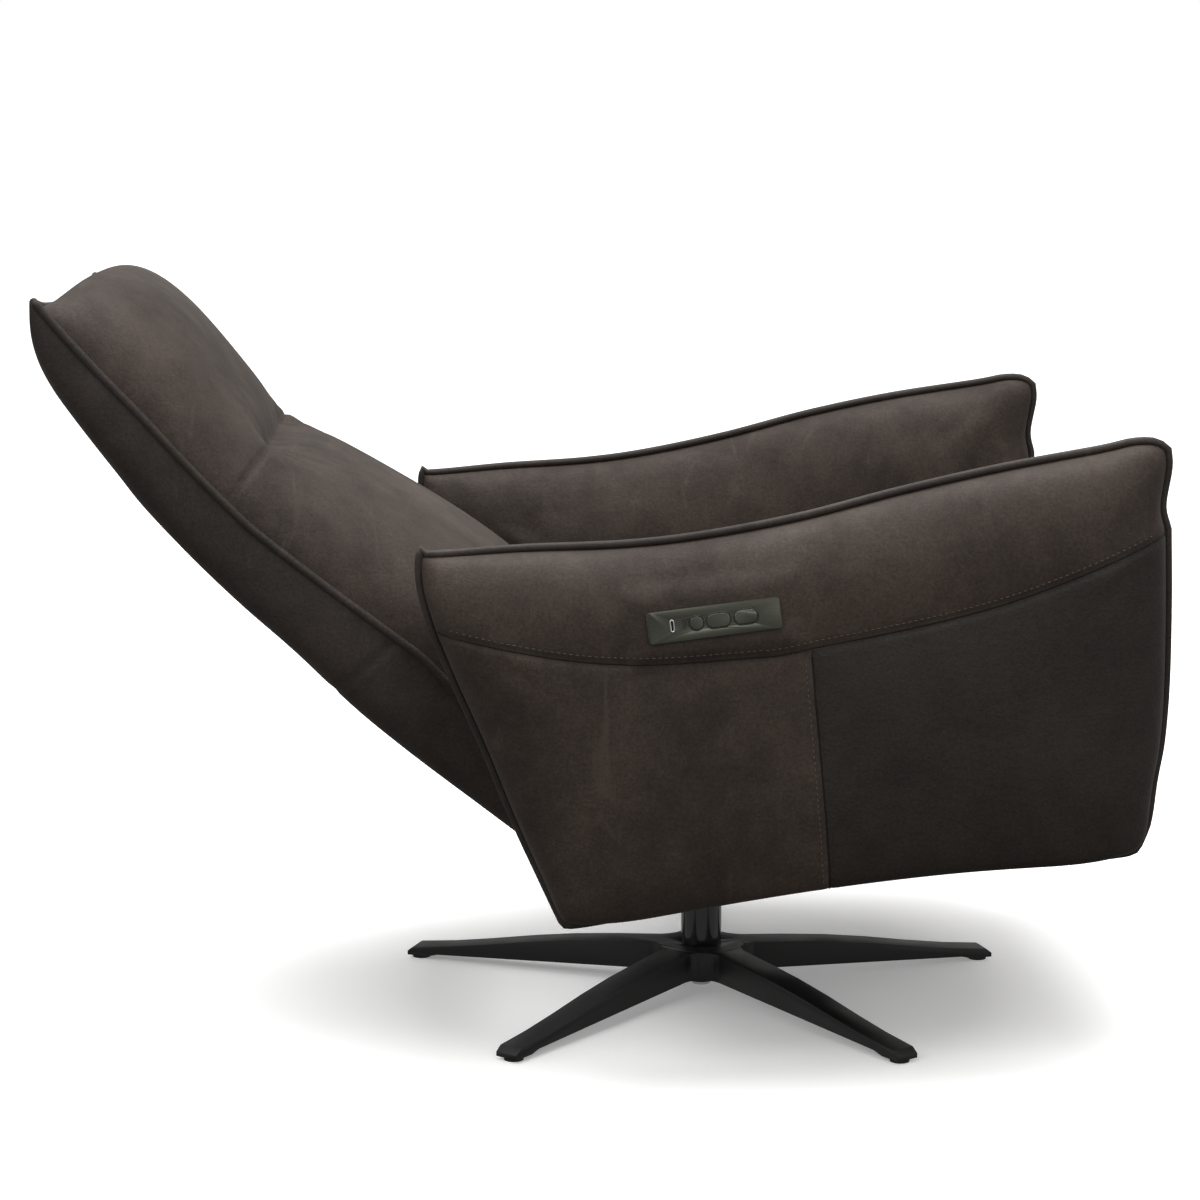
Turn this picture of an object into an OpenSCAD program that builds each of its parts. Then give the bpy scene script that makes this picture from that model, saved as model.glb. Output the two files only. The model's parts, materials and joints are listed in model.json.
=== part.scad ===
// Reclining swivel armchair: five-armed floor star, swivel column, tilting seat body with two
// pillow arms, reclining back, folding headrest, two-stage legrest and a keypad in one arm.
// Millimetres. The floor is z = 0, the column's axis is the Z axis, the chair faces -Y and the
// sitter's left is +X. Seat pieces are drawn level and then tilted; back pieces are drawn upright
// from the recline axis and then laid back.

/* [Floor star and column] */
// Reach of a floor arm from the column's axis to its tip
leg_reach = 342; // [310:1:400]
// Width of a floor arm at its tip
leg_tip_w = 26; // [24:1:40]
// Width of a floor arm where it leaves the hub
leg_root_w = 36; // [34:1:50]
// Height of a floor arm's top at the hub
leg_root_h = 47; // [42:1:56]
// Height of a floor arm's top at its tip
leg_tip_h = 14; // [13:1:20]
// Wall of the hollow floor arms
leg_wall = 5; // [4:1:7]
// Angle of the first floor arm from +X
star_turn = -4; // [-36:1:36]
// Outer diameter of the column tube
column_d = 44; // [40:1:52]
// Wall of the column tube
column_wall = 3; // [2:0.5:4]
// Height of the column tube's top
column_top = 138; // [128:1:142]
// Diameter of the turning spindle
spindle_d = 28; // [22:1:30]

/* [Seat body] */
// Angle at which the seat body stands tilted back
tilt_rest = 7; // [0:0.5:8]
// Clear width between the two arms
between_arms = 534; // [500:2:660]
// Thickness of a pillow arm at its middle
arm_thick = 116; // [96:2:150]
// Height of the arms' lower edge above the floor, with the seat level
arm_bottom = 192; // [186:1:200]
// Height of the arms' upper rear corner above their lower edge
arm_rise = 380; // [340:5:460]
// How much higher the front corner is than the rear one
arm_front_lift = 20; // [0:1:40]
// How far the upper edge dips between its corners
arm_dip = 22; // [0:1:30]
// Reach of the arm's lower edge forwards from the column's axis
arm_front = 405; // [395:5:490]
// Reach of the arm's lower edge backwards from the column's axis
arm_rear = 177; // [170:1:210]
// Flare of the arm's front edge from its lower to its upper corner
arm_front_flare = 59; // [30:1:80]
// Flare of the arm's rear edge from its lower to its upper corner
arm_rear_flare = 90; // [60:1:110]
// Height of the seat cushion's top above the floor, with the seat level
seat_top = 455; // [440:1:490]
// Thickness of the seat cushion
seat_thick = 134; // [110:1:136]
// Thickness of leather with its wadding
cover_t = 3; // [2:0.5:5]
// Thickness of the ply board in an arm
board_t = 18; // [12:1:24]
// Width of the piped edges
welt_w = 7; // [5:0.5:9]

/* [Back and headrest] */
// Angle of the back from the seat body's upright, as the chair stands
recline_rest = 45; // [13:1:50]
// Width of the back over its piped edges
back_w = 510; // [460:2:516]
// Length of the back from the recline axis to the headrest's fold
back_len = 400; // [340:5:480]
// Length of the headrest from its fold to its top seam
head_len = 266; // [220:2:320]
// Thickness of the back cushion in front of its piping
back_crown = 115; // [90:1:118]
// Thickness of the headrest cushion in front of its piping
head_crown = 82; // [60:1:90]
// Depth of the rear shell behind the piping, at the foot of the back
shell_depth = 81; // [78:1:96]
// Wall of the rear shells
shell_t = 4; // [3:0.5:6]

/* [Legrest] */
// Height of the legrest pad that hangs in front of the seat
legrest_h = 112; // [90:1:114]
// Length of the flap folded away beneath the seat
flap_len = 122; // [90:1:140]
// Thickness of the legrest pads
legrest_t = 42; // [34:1:46]

/* [Keypad] */
// Length of the keypad plate
keypad_l = 127; // [118:1:150]
// Height of the keypad plate
keypad_h = 30; // [26:1:44]
// Diameter of the round key
round_key_d = 12.6; // [10:0.2:15]
// Length of a rocker key
rocker_l = 22; // [18:0.5:23]
// Height of a rocker key
rocker_h = 13; // [10:0.5:16]

/* [Hidden] */
$fn = 40;
clear = 0.3;      // gap between pieces that only lie together
run = 0.05;       // radial clearance of a running fit
bolt_gap = 0.2;   // radial clearance round a bolt
slide_gap = 1;    // sideways gap beside a turning plate
far = 2000;       // longer than any piece

// Hinge axes in Y and Z, with the seat level
tilt_axis = [-100, 240];
recline_axis = [170, 342];
legrest_axis = [-415, 300];
flap_axis = [-362, 228];
link_foot = [100, 200];
fold_axis = [0, back_len];        // in the back's own frame

// Places across the chair
arm_x = (between_arms + arm_thick) / 2;                       // an arm's seam plane
rail_w = 20;
rail_h = 30;
rail_reach = 215;                                             // the back covers rails up to here
rail_x = min(between_arms / 2 - 52, rail_reach);              // a side rail's middle
plate_t = 6;                                                  // steel plates
bracket_x = rail_x - (rail_w + plate_t) / 2 - 0.1;            // recline brackets
tube_w = 18;
tube_x = bracket_x - (plate_t + tube_w) / 2 - slide_gap;      // the back frame's side tubes
head_plate_x = tube_x - (tube_w + plate_t) / 2 - slide_gap;   // the headrest frame's side plates
drive_x = 130;                                                // actuator (left) and legrest drive (right)
cheek_x = 70;                                                 // the carrier's cheeks
link_x = cheek_x + plate_t + slide_gap;                       // the tilt links
link_lever_x = link_x + plate_t + slide_gap;                  // the back's levers for them
leg_arm_x = 182;                                              // the legrest's arms
flap_arm_x = leg_arm_x - plate_t - slide_gap;                 // the flap's arms

// Heights
rail_z = legrest_axis[1] - rail_h / 2;
rail_top = rail_z + rail_h;
bar_z = rail_z + 1;                                           // the cross bars' underside
bar_h = rail_h - 4;

// Diameters
pin_d = 12;
tilt_pin_d = 16;
shaft_d = 16;
bolt_d = 8;

// ---- frames -------------------------------------------------------------------------------

module in_seat() {
    translate([0, tilt_axis[0], tilt_axis[1]]) rotate([-tilt_rest, 0, 0])
        translate([0, -tilt_axis[0], -tilt_axis[1]]) children();
}

module in_back() {
    in_seat() translate([0, recline_axis[0], recline_axis[1]]) rotate([-recline_rest, 0, 0])
        children();
}

// The flap is drawn unfolded, in line with the legrest pad, and then turned under the seat
module in_flap() {
    in_seat() translate([0, flap_axis[0], flap_axis[1]]) rotate([90, 0, 0])
        translate([0, -flap_axis[0], -flap_axis[1]]) children();
}

module both_sides() {
    children();
    mirror([1, 0, 0]) children();
}

// A side view in Y and Z as a plate whose middle is at x
module plate_at(x, t) {
    translate([x - t / 2, 0, 0]) rotate([90, 0, 90]) linear_extrude(t) children();
}

// A round bar along X whose middle is at x, on an axis given in Y and Z
module bar_at(x, axis, d, len) {
    translate([x, axis[0], axis[1]]) rotate([0, 90, 0]) cylinder(d = d, h = len, center = true);
}

// Side view of a link with round ends
module link_2d(a, b, w) {
    span = b - a;
    translate(a) circle(d = w);
    translate(b) circle(d = w);
    translate(a) rotate(atan2(span[1], span[0])) translate([0, 0.5 - w / 2]) square([norm(span), w - 1]);
}

// ---- soft shapes --------------------------------------------------------------------------

// Solid through rings of equally many points, which run anticlockwise seen from the last ring
module loft(rings) {
    n = len(rings[0]);
    m = len(rings);
    points = [for (ring = rings) each ring];
    sides = [for (j = [0:m - 2]) for (i = [0:n - 1]) let (k = (i + 1) % n) each
        [[j * n + i, (j + 1) * n + k, j * n + k], [j * n + i, (j + 1) * n + i, (j + 1) * n + k]]];
    first = [for (i = [0:n - 1]) i];
    last = [for (i = [n - 1:-1:0]) (m - 1) * n + i];
    polyhedron(points, concat(sides, [first, last]), convexity = 6);
}

// Swell of a pillow, from its rim (share 1) to its middle (share 0)
function swell(share) = sqrt(1 - pow(share, 4));
shares = [1, 0.965, 0.91, 0.82, 0.66, 0.4];

// Arc of a corner: centre, radius, first and last angle
function corner(c, r, a, b, steps = 3) = [for (i = [0:steps]) let (w = a + (b - a) * i / steps)
    c + r * [cos(w), sin(w)]];

// Rounded oblong, centred across and from v0 to v1 along
function oblong(w, v0, v1, r) = concat(
    corner([w / 2 - r, v0 + r], r, -90, 0), corner([w / 2 - r, v1 - r], r, 0, 90),
    corner([r - w / 2, v1 - r], r, 90, 180), corner([r - w / 2, v0 + r], r, 180, 270));

// Cushion that swells forwards from a flat rim at rim_y; inset draws it smaller all round, lean
// moves it forwards as it rises, and back is how far behind the rim it ends
pad_edge = 8;
module pad(w, z0, z1, rim_y, crown, r, lean = 0, inset = 0, back = 0) {
    edge = oblong(w - 2 * inset, z0 + inset, z1 - inset, r - inset / 2);
    mid = (z0 + z1) / 2;
    lift = crown - inset - pad_edge;
    shapes = concat([[1, -back]], [for (s = shares) [s, pad_edge + lift * swell(s)]]);
    loft([for (shape = shapes) [for (p = edge) let (z = mid + shape[0] * (p[1] - mid))
        [shape[0] * p[0], rim_y - lean * (z - z0) - shape[1], z]]]);
}

// ---- floor star and column ----------------------------------------------------------------

hub_r = 36;          // solid hub, out to where the floor arms are hollow beneath
hub_foot = 17;       // height of the hub's underside
glide_h = 4;
toe_len = 24;        // solid toe that stands on a glide
toe_ramp = 12;
web_r = 24;          // rounding between neighbouring floor arms

// Profile of the star from the column's axis outwards, drawn lower by a drop
module star_side(drop = 0) {
    rise = leg_root_h - leg_tip_h;
    outer = leg_reach + 1;
    top = [[0.98, 0], [0.86, 0.12], [0.73, 0.31], [0.58, 0.56], [0.44, 0.75], [0.3, 0.88], [0.14, 1], [0, 1]];
    translate([0, -drop]) polygon(concat([[0, hub_foot], [hub_r, hub_foot],
        [leg_reach - toe_len - toe_ramp, glide_h + 3], [leg_reach - toe_len, glide_h],
        [outer, glide_h], [outer, leg_tip_h - 6]],
        [for (p = top) [p[0] * leg_reach, leg_tip_h + p[1] * rise]]));
}

// Top view of the whole star, drawn narrower by an inset
module star_plan(inset = 0) {
    offset(delta = -inset) offset(r = -web_r) offset(delta = web_r) each_leg() polygon([
        [0, -leg_root_w / 2], [leg_reach, -leg_tip_w / 2],
        [leg_reach, leg_tip_w / 2], [0, leg_root_w / 2]]);
}

module each_leg() {
    for (i = [0:4]) rotate([0, 0, star_turn + 72 * i]) children();
}

// Turned about the column's axis in flats, with one flat along each floor arm
module turned_flats() {
    rotate([0, 0, star_turn + 3]) rotate_extrude($fn = 60) children();
}

module star_base() color("#16191a") difference() {
    intersection() {
        linear_extrude(leg_root_h + 1) star_plan();
        turned_flats() star_side();
    }
    intersection() {
        translate([0, 0, -1]) linear_extrude(leg_root_h) star_plan(leg_wall);
        turned_flats() intersection() {
            star_side(leg_wall);
            translate([hub_r + leg_wall, -leg_wall])
                square([leg_reach - toe_len - toe_ramp - hub_r - 2 * leg_wall, leg_root_h]);
        }
    }
    translate([0, 0, -1]) cylinder(d = column_d + 2 * run, h = leg_root_h + 5);
    each_leg() translate([leg_reach - toe_len / 2, 0, -1])
        cylinder(d = glide_stem + 2 * bolt_gap, h = glide_h + 7);
}

glide_stem = 6;
module floor_glides() color("#0c0c0c") each_leg() translate([leg_reach - toe_len / 2, 0, 0]) {
    cylinder(d = toe_len - 4, h = glide_h - clear);
    cylinder(d = glide_stem, h = glide_h + 5);
}

column_foot = 5;
column_floor = 9;
module column_tube() color("#0e0f10") difference() {
    translate([0, 0, column_foot]) rotate_extrude() polygon([[0, 0], [column_d / 2 - 7, 0],
        [column_d / 2 - 2.5, 1.8], [column_d / 2 - 0.7, 4], [column_d / 2, 7],
        [column_d / 2, column_top - column_foot], [0, column_top - column_foot]]);
    translate([0, 0, column_foot + column_floor]) cylinder(d = column_d - 2 * column_wall, h = column_top);
    cylinder(d = screw_d + 2 * clear, h = column_top / 2);
}

bush_h = 22;
module bush(z) {
    translate([0, 0, z]) difference() {
        cylinder(d = column_d - 2 * column_wall - 2 * run, h = bush_h);
        translate([0, 0, -1]) cylinder(d = spindle_d + 2 * run, h = bush_h + 2);
    }
}

module lower_bush() color("#d8d4c8") bush(column_foot + column_floor + 16);

module upper_bush() color("#d8d4c8") bush(column_top - bush_h);

washer_h = 2.5;
module thrust_washer() color("#b9a25a") translate([0, 0, column_top]) difference() {
    cylinder(d = column_d + 8, h = washer_h);
    translate([0, 0, -1]) cylinder(d = spindle_d + 2 * bolt_gap, h = washer_h + 2);
}

flange_z = column_top + washer_h + run;
flange_d = 120;
flange_t = 8;
flange_bolt_r = 46;
screw_d = 10;
screw_grip = 24;
spindle_foot = column_foot + column_floor + 8;

module each_flange_bolt() {
    for (i = [0:3]) rotate([0, 0, 45 + 90 * i]) translate([flange_bolt_r, 0, 0]) children();
}

module spindle() color("#8c9094") difference() {
    union() {
        translate([0, 0, spindle_foot]) cylinder(d = spindle_d, h = flange_z - spindle_foot + 1);
        translate([0, 0, flange_z]) cylinder(d = flange_d, h = flange_t);
    }
    cylinder(d = screw_d + 2 * run, h = spindle_foot + screw_grip);
    each_flange_bolt() translate([0, 0, flange_z - 1]) cylinder(d = bolt_d + 2 * bolt_gap, h = flange_t + 2);
}

module column_screw() color("#3a3c3e") {
    translate([0, 0, 1]) cylinder(d = 2 * screw_d, h = column_foot - 1 - run);
    translate([0, 0, 1]) cylinder(d = screw_d, h = spindle_foot + screw_grip - 2);
}

// ---- swivel carrier -----------------------------------------------------------------------

carrier_z = flange_z + flange_t + run;
carrier_half = 84;
tilt_eye = 16;
link_w = 18;
link_pin_d = 10;

module cheek_side() difference() {
    union() {
        polygon([[-carrier_half, carrier_z], [carrier_half, carrier_z],
            [link_foot[0] + link_w / 2, link_foot[1] - 4], [link_foot[0] - 4, link_foot[1] + 10],
            [carrier_half - 40, carrier_z + 28], [-carrier_half + 40, carrier_z + 28],
            [tilt_axis[0] + tilt_eye, tilt_axis[1]], [tilt_axis[0], tilt_axis[1] + tilt_eye - 1],
            [tilt_axis[0] - tilt_eye, tilt_axis[1] - 2]]);
        translate(tilt_axis) circle(tilt_eye);
        translate(link_foot) circle(link_w / 2);
    }
    translate(tilt_axis) circle(d = tilt_pin_d + 2 * run);
}

module swivel_carrier() color("#1b1d1f") {
    difference() {
        translate([-cheek_x - 3, -carrier_half, carrier_z])
            cube([2 * cheek_x + 6, 2 * carrier_half, plate_t]);
        each_flange_bolt() translate([0, 0, carrier_z - 1])
            cylinder(d = bolt_d + 2 * bolt_gap, h = plate_t + 2);
    }
    for (s = [-1, 1]) {
        plate_at(s * cheek_x, plate_t) cheek_side();
        bar_at(s * (link_x + 1), link_foot, link_pin_d, 2 * plate_t + 4);
    }
}

module carrier_bolts() color("#5c6063") each_flange_bolt() {
    translate([0, 0, carrier_z + plate_t]) cylinder(d = 14, h = 6);
    translate([0, 0, flange_z]) cylinder(d = bolt_d, h = carrier_z + plate_t - flange_z + 1);
}

lug_x = cheek_x - plate_t - slide_gap;
module tilt_pin() color("#9a9da0") {
    bar_at(0, tilt_axis, tilt_pin_d, 2 * cheek_x + 14);
    for (s = [-1, 1]) bar_at(s * (cheek_x + plate_t / 2 + 2.6), tilt_axis, tilt_pin_d + 8, 4);
}

// The back's levers pull on the links; the eye at the lever's pin is a loose one
link_lever_r = 49;
link_lever_turn = -138;     // the lever's direction in the back's own frame
link_pin = link_lever_r * [cos(link_lever_turn), sin(link_lever_turn)];
link_eye_gap = 2.6;

// A point of the back's frame, in the frame of the level seat, and one of that in the room's
function turned(p, a) = [p[0] * cos(a) + p[1] * sin(a), p[1] * cos(a) - p[0] * sin(a)];
function seat_from_back(p) = recline_axis + turned(p, recline_rest);
function room_from_seat(p) = tilt_axis + turned(p - tilt_axis, tilt_rest);
link_head = room_from_seat(seat_from_back(link_pin));

module tilt_links() color("#2a2d30") for (s = [-1, 1]) plate_at(s * link_x, plate_t) difference() {
    union() {
        link_2d(link_foot, link_head, link_w);
        translate(link_head) circle(link_pin_d / 2 + link_eye_gap + 4);
    }
    translate(link_foot) circle(d = link_pin_d + 2 * run);
    translate(link_head) circle(d = link_pin_d + 2 * link_eye_gap);
}

// ---- seat frame ---------------------------------------------------------------------------

spacer_ys = [-300, 30];
spacer_d = 24;
rail_back = recline_axis[0] + 20;
rail_wall = 2;

module side_rail(s) {
    difference() {
        plate_at(s * rail_x, rail_w) {
            translate([legrest_axis[0], rail_z]) square([rail_back - legrest_axis[0], rail_h]);
            translate(legrest_axis) circle(rail_h / 2);
        }
        plate_at(s * rail_x, rail_w - 2 * rail_wall)
            translate([legrest_axis[0] + rail_h / 2 + 6, rail_z + rail_wall])
            square([far, rail_h - 2 * rail_wall]);
        bar_at(s * rail_x, legrest_axis, shaft_d + 2 * run, rail_w + 2);
        for (y = spacer_ys)
            bar_at(s * rail_x, [y, rail_z + rail_h / 2], bolt_d + 2 * bolt_gap, rail_w + 2);
    }
}

inlet_y = 60;
inlet_d = 13;

module side_rail_right() color("#232629") in_seat() difference() {
    side_rail(-1);
    translate([-rail_x, inlet_y, rail_z - 1]) cylinder(d = inlet_d + 2 * bolt_gap, h = rail_wall + 2);
}

module side_rail_left() color("#232629") in_seat() side_rail(1);

bar_ys = [-340, -100, 70];
bar_w = 26;
module cross_bars() color("#232629") in_seat() {
    for (y = bar_ys) difference() {
        translate([clear + rail_w / 2 - rail_x, y - bar_w / 2, bar_z])
            cube([2 * (rail_x - clear) - rail_w, bar_w, bar_h]);
        translate([-rail_x, y - bar_w / 2 + rail_wall, bar_z + rail_wall])
            cube([2 * rail_x, bar_w - 2 * rail_wall, bar_h - 2 * rail_wall]);
    }
    for (s = [-1, 1]) plate_at(s * lug_x, plate_t) difference() {
        union() {
            translate(tilt_axis) circle(tilt_eye);
            translate([tilt_axis[0] - 12, tilt_axis[1]]) square([24, bar_z - tilt_axis[1] + 1]);
        }
        translate(tilt_axis) circle(d = tilt_pin_d + 2 * run);
    }
}

module recline_brackets() color("#232629") in_seat() for (s = [-1, 1])
    plate_at(s * bracket_x, plate_t) difference() {
        union() {
            translate(recline_axis) circle(14);
            polygon([recline_axis + [-70, -53], recline_axis + [14, -53], recline_axis + [14, 0],
                recline_axis + [-14, 2]]);
        }
        translate(recline_axis) circle(d = pin_d + 2 * run);
    }

recline_pin_from = tube_x - tube_w / 2 + 1.5;
recline_pin_to = bracket_x + plate_t / 2 + clear;
module recline_pins() color("#9a9da0") in_seat() for (s = [-1, 1]) {
    bar_at(s * (recline_pin_from + recline_pin_to) / 2, recline_axis, pin_d,
        recline_pin_to - recline_pin_from);
    bar_at(s * (recline_pin_to + 2), recline_axis, pin_d + 8, 4);
}

web_t = 2.5;
module seat_webbing() color("#4b453d") in_seat() for (y = [-320:62:40])
    translate([-rail_x - rail_w / 2, y - 25, rail_top + clear]) cube([2 * rail_x + rail_w, 50, web_t]);

// ---- seat cushion -------------------------------------------------------------------------

seat_gap = 6;                                 // between the cushion and an arm
seat_front = legrest_axis[0] - 10;
seat_back = recline_axis[0] - 108;

module seat_block(inset) {
    z0 = seat_top - seat_thick + inset;
    mid = (seat_back + seat_front) / 2;
    depth = seat_back - seat_front - 2 * inset;
    edge = oblong(between_arms - 2 * seat_gap - 2 * inset, -depth / 2, depth / 2, 44 - inset);
    steps = [[0, 0.97], [0.12, 1], [0.7, 1], [0.86, 0.985], [0.95, 0.95], [0.985, 0.9], [1, 0.8]];
    loft([for (step = steps) [for (p = edge) [step[1] * p[0], mid + step[1] * p[1],
        z0 + (seat_thick - 2 * inset) * step[0]]]]);
}

module seat_cover() color("#4a403b") in_seat() difference() {
    seat_block(0);
    seat_block(cover_t);
    translate([40 - between_arms / 2, seat_front + 40, seat_top - seat_thick - 1])
        cube([between_arms - 80, seat_back - seat_front - 80, cover_t + 2]);
}

module seat_foam() color("#d9c690") in_seat() seat_block(cover_t + clear);

// ---- electrics under the seat -------------------------------------------------------------

// A battery charger's socket, let into the underside of the right rail
module charging_inlet() color("#101112") in_seat()
    translate([-rail_x, inlet_y, rail_z]) rotate([180, 0, 0]) difference() {
        union() {
            translate([0, 0, clear]) cylinder(d = inlet_d + 5, h = 2.5);
            translate([0, 0, -14]) cylinder(d = inlet_d, h = 16);
        }
        translate([0, 0, -9]) cylinder(d = 5.5, h = 13);
    }

battery_w = 76;
module battery_pack() color("#1d2023") in_seat()
    translate([-rail_x + rail_w / 2 + 12, bar_ys[1] - 12, bar_z - clear - 32])
    cube([battery_w, bar_ys[2] - bar_ys[1] + 24, 32]);

module control_box() color("#26292c") in_seat()
    translate([rail_x - rail_w / 2 - clear - 40, bar_ys[0] + 60, rail_z])
    cube([40, 110, 24]);

// ---- arms ---------------------------------------------------------------------------------

arm_foot_r = 24;
arm_tip_r = 12;
arm_nose_r = 30;
arm_toe_r = 34;
arm_top = arm_bottom + arm_rise;
arm_nose_z = arm_top + arm_front_lift - arm_nose_r;
arm_run = arm_front + arm_front_flare + arm_rear + arm_rear_flare - arm_tip_r - arm_nose_r;

// Outline of an arm in Y and Z, from the lower rear corner up, forwards and down
function arm_edge() = let (lean = atan(arm_rear_flare / arm_rise)) concat(
    corner([arm_rear - arm_foot_r, arm_bottom + arm_foot_r], arm_foot_r, -90, -lean),
    corner([arm_rear + arm_rear_flare - arm_tip_r, arm_top - arm_tip_r], arm_tip_r, -lean, 92),
    [for (t = [0.12:0.125:0.88]) [arm_rear + arm_rear_flare - arm_tip_r - t * arm_run,
        arm_top + arm_front_lift * t - arm_dip * sin(180 * pow(t, 0.7))]],
    corner([arm_nose_r - arm_front - arm_front_flare, arm_nose_z], arm_nose_r, 96, 186),
    [for (t = [0.16:0.17:0.84]) [-arm_front - (arm_front_flare - 2) * (1 - t) - 9 * sin(180 * t),
        arm_nose_z + (arm_bottom + arm_toe_r - arm_nose_z) * t]],
    corner([arm_toe_r - arm_front, arm_bottom + arm_toe_r], arm_toe_r, 188, 270));
arm_mid = [(arm_rear + arm_rear_flare / 2 - arm_front - arm_front_flare / 2) / 2,
    arm_bottom + arm_rise / 2];

// The outline drawn towards the arm's middle by a distance
function arm_inside(d) = [for (p = arm_edge()) p - d * (p - arm_mid) / norm(p - arm_mid)];

// Pillow about the arm's seam plane, inside the piping, pulled in all round by an inset
arm_rim = welt_w / 2 - 1;
module arm_pillow(inset) {
    edge = arm_inside(welt_w + inset);
    rim = max(arm_rim - inset, 0.4);
    half = arm_thick / 2 - inset - rim;
    halves = concat([for (s = [len(shares) - 1:-1:0]) [-1, shares[s]]], [for (s = shares) [1, s]]);
    loft([for (h = halves) [for (p = edge) [h[0] * (rim + half * swell(h[1])),
        arm_mid[0] + h[1] * (p[0] - arm_mid[0]), arm_mid[1] + h[1] * (p[1] - arm_mid[1])]]]);
}

module arm_place(s) {
    in_seat() translate([s * arm_x, 0, 0]) children();
}

module arm_spacer_holes(s, d) {
    arm_place(s) for (y = spacer_ys)
        bar_at(-s * arm_thick / 2, [y, rail_z + rail_h / 2], d, arm_thick - board_t + 2);
}

board_inset = 40;
module arm_board(s) difference() {
    arm_place(s) plate_at(0, board_t) polygon(arm_inside(board_inset));
    arm_place(s) for (y = spacer_ys) bar_at(0, [y, rail_z + rail_h / 2], bolt_d + 2 * bolt_gap, board_t + 2);
}

module arm_board_right() color("#c9a877") arm_board(-1);

module arm_board_left() color("#c9a877") arm_board(1);

module arm_foam(s) difference() {
    arm_place(s) arm_pillow(cover_t + clear);
    arm_place(s) plate_at(0, board_t + 2 * clear) polygon(arm_inside(board_inset - clear));
    arm_spacer_holes(s, spacer_d + 1);
    if (s < 0) keypad_room(1);
}

module arm_foam_right() color("#d9c690") arm_foam(-1);

module arm_foam_left() color("#d9c690") arm_foam(1);

module arm_cover(s) difference() {
    arm_place(s) arm_pillow(0);
    arm_place(s) arm_pillow(cover_t);
    arm_spacer_holes(s, spacer_d + 1);
    if (s < 0) keypad_room(clear);
}

module arm_cover_right() color("#463c37") arm_cover(-1);

module arm_cover_left() color("#463c37") arm_cover(1);

module arm_welt(s) arm_place(s) plate_at(0, welt_w) difference() {
    polygon(arm_edge());
    polygon(arm_inside(welt_w - clear));
}

module arm_welt_right() color("#352d29") arm_welt(-1);

module arm_welt_left() color("#352d29") arm_welt(1);

spacer_from = rail_x + rail_w / 2 + clear;
spacer_to = arm_x - board_t / 2 - clear;
module arm_spacers() color("#6f7275") in_seat() both_sides() for (y = spacer_ys) difference() {
    bar_at((spacer_from + spacer_to) / 2, [y, rail_z + rail_h / 2], spacer_d, spacer_to - spacer_from);
    bar_at((spacer_from + spacer_to) / 2, [y, rail_z + rail_h / 2], bolt_d + 2 * bolt_gap, far);
}

bolt_from = rail_x - rail_w / 2 - clear;
bolt_to = arm_x + board_t / 2;
module arm_bolts() color("#3a3c3e") in_seat() both_sides() for (y = spacer_ys) {
    bar_at((bolt_from + bolt_to) / 2, [y, rail_z + rail_h / 2], bolt_d, bolt_to - bolt_from);
    bar_at(bolt_from - 2.5, [y, rail_z + rail_h / 2], 14, 5);
}

// ---- keypad -------------------------------------------------------------------------------

// It lies in the right arm's outer face: X forwards, Y up and Z out of the arm, with its front
// face at z = 0 and its slope and stand taken from the pillow there
keypad_at = [-4, arm_mid[1] + 99];
keypad_share = (keypad_at[1] - arm_mid[1]) / (arm_top - arm_dip / 2 - 4 - welt_w - arm_mid[1]);
keypad_lean = atan((swell(0.4) - swell(0.66)) * (arm_thick / 2 - arm_rim)
    / (0.26 * (arm_top - arm_dip / 2 - welt_w - arm_mid[1])));
keypad_stand = arm_rim + (arm_thick / 2 - arm_rim) * swell(keypad_share) + 1.4;
keypad_t = 3.5;
housing_t = 22;
housing_wall = 2;
key_gap = 0.25;
rocker_gap = 0.7;
round_key_x = -16.8;
back_rocker_x = 4;
legrest_rocker_x = 30.2;
slot_x = -40;
lens_x = -28.6;
rocker_r = rocker_h / 2 - 0.5;
key_stand = 1;       // how far the keys stand out of the plate
key_depth = 9;

module in_keypad() {
    in_seat() translate([-arm_x - keypad_stand, keypad_at[0], keypad_at[1]])
        rotate([90 - keypad_lean, 0, -90]) children();
}

// Rounded block centred on a place, from z0 to z1
module key_block(x, l, h, r, z0, z1) {
    translate([x, 0, z0]) linear_extrude(z1 - z0) {
        square([l - 2 * r, h], center = true);
        square([l, h - 2 * r], center = true);
        for (i = [-1, 1], j = [-1, 1]) translate([i * (l / 2 - r), j * (h / 2 - r)]) circle(r);
    }
}

module keypad_room(gap) {
    in_keypad() key_block(0, keypad_l + 2 * gap, keypad_h + 2 * gap, 4,
        -keypad_t - housing_t - clear, 20);
}

module keypad_plate() color("#3c3d38") in_keypad() difference() {
    key_block(0, keypad_l, keypad_h, 4, -keypad_t, 0);
    translate([round_key_x, 0, -10]) cylinder(d = round_key_d + 2 * key_gap, h = 20);
    key_block(back_rocker_x, rocker_l + 2 * rocker_gap, rocker_h + 2 * key_gap, rocker_r, -10, 10);
    key_block(legrest_rocker_x, rocker_l + 2 * rocker_gap, rocker_h + 2 * key_gap, rocker_r, -10, 10);
    key_block(slot_x, 4 + 2 * key_gap, 11 + 2 * key_gap, 1.2, -10, 10);
    key_block(lens_x, 2.2 + 2 * key_gap, 7 + 2 * key_gap, 1, -10, 10);
}

module keypad_housing() color("#141516") in_keypad() difference() {
    key_block(0, keypad_l - 6, keypad_h - 4, 4, -keypad_t - housing_t, -keypad_t);
    key_block(0, keypad_l - 6 - 2 * housing_wall, keypad_h - 4 - 2 * housing_wall, 3,
        -keypad_t - housing_t + housing_wall, 0);
}

module keypad_board() color("#1d5a35") in_keypad()
    key_block(0, keypad_l - 12, keypad_h - 10, 2, -keypad_t - housing_t + housing_wall, -18);

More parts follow.
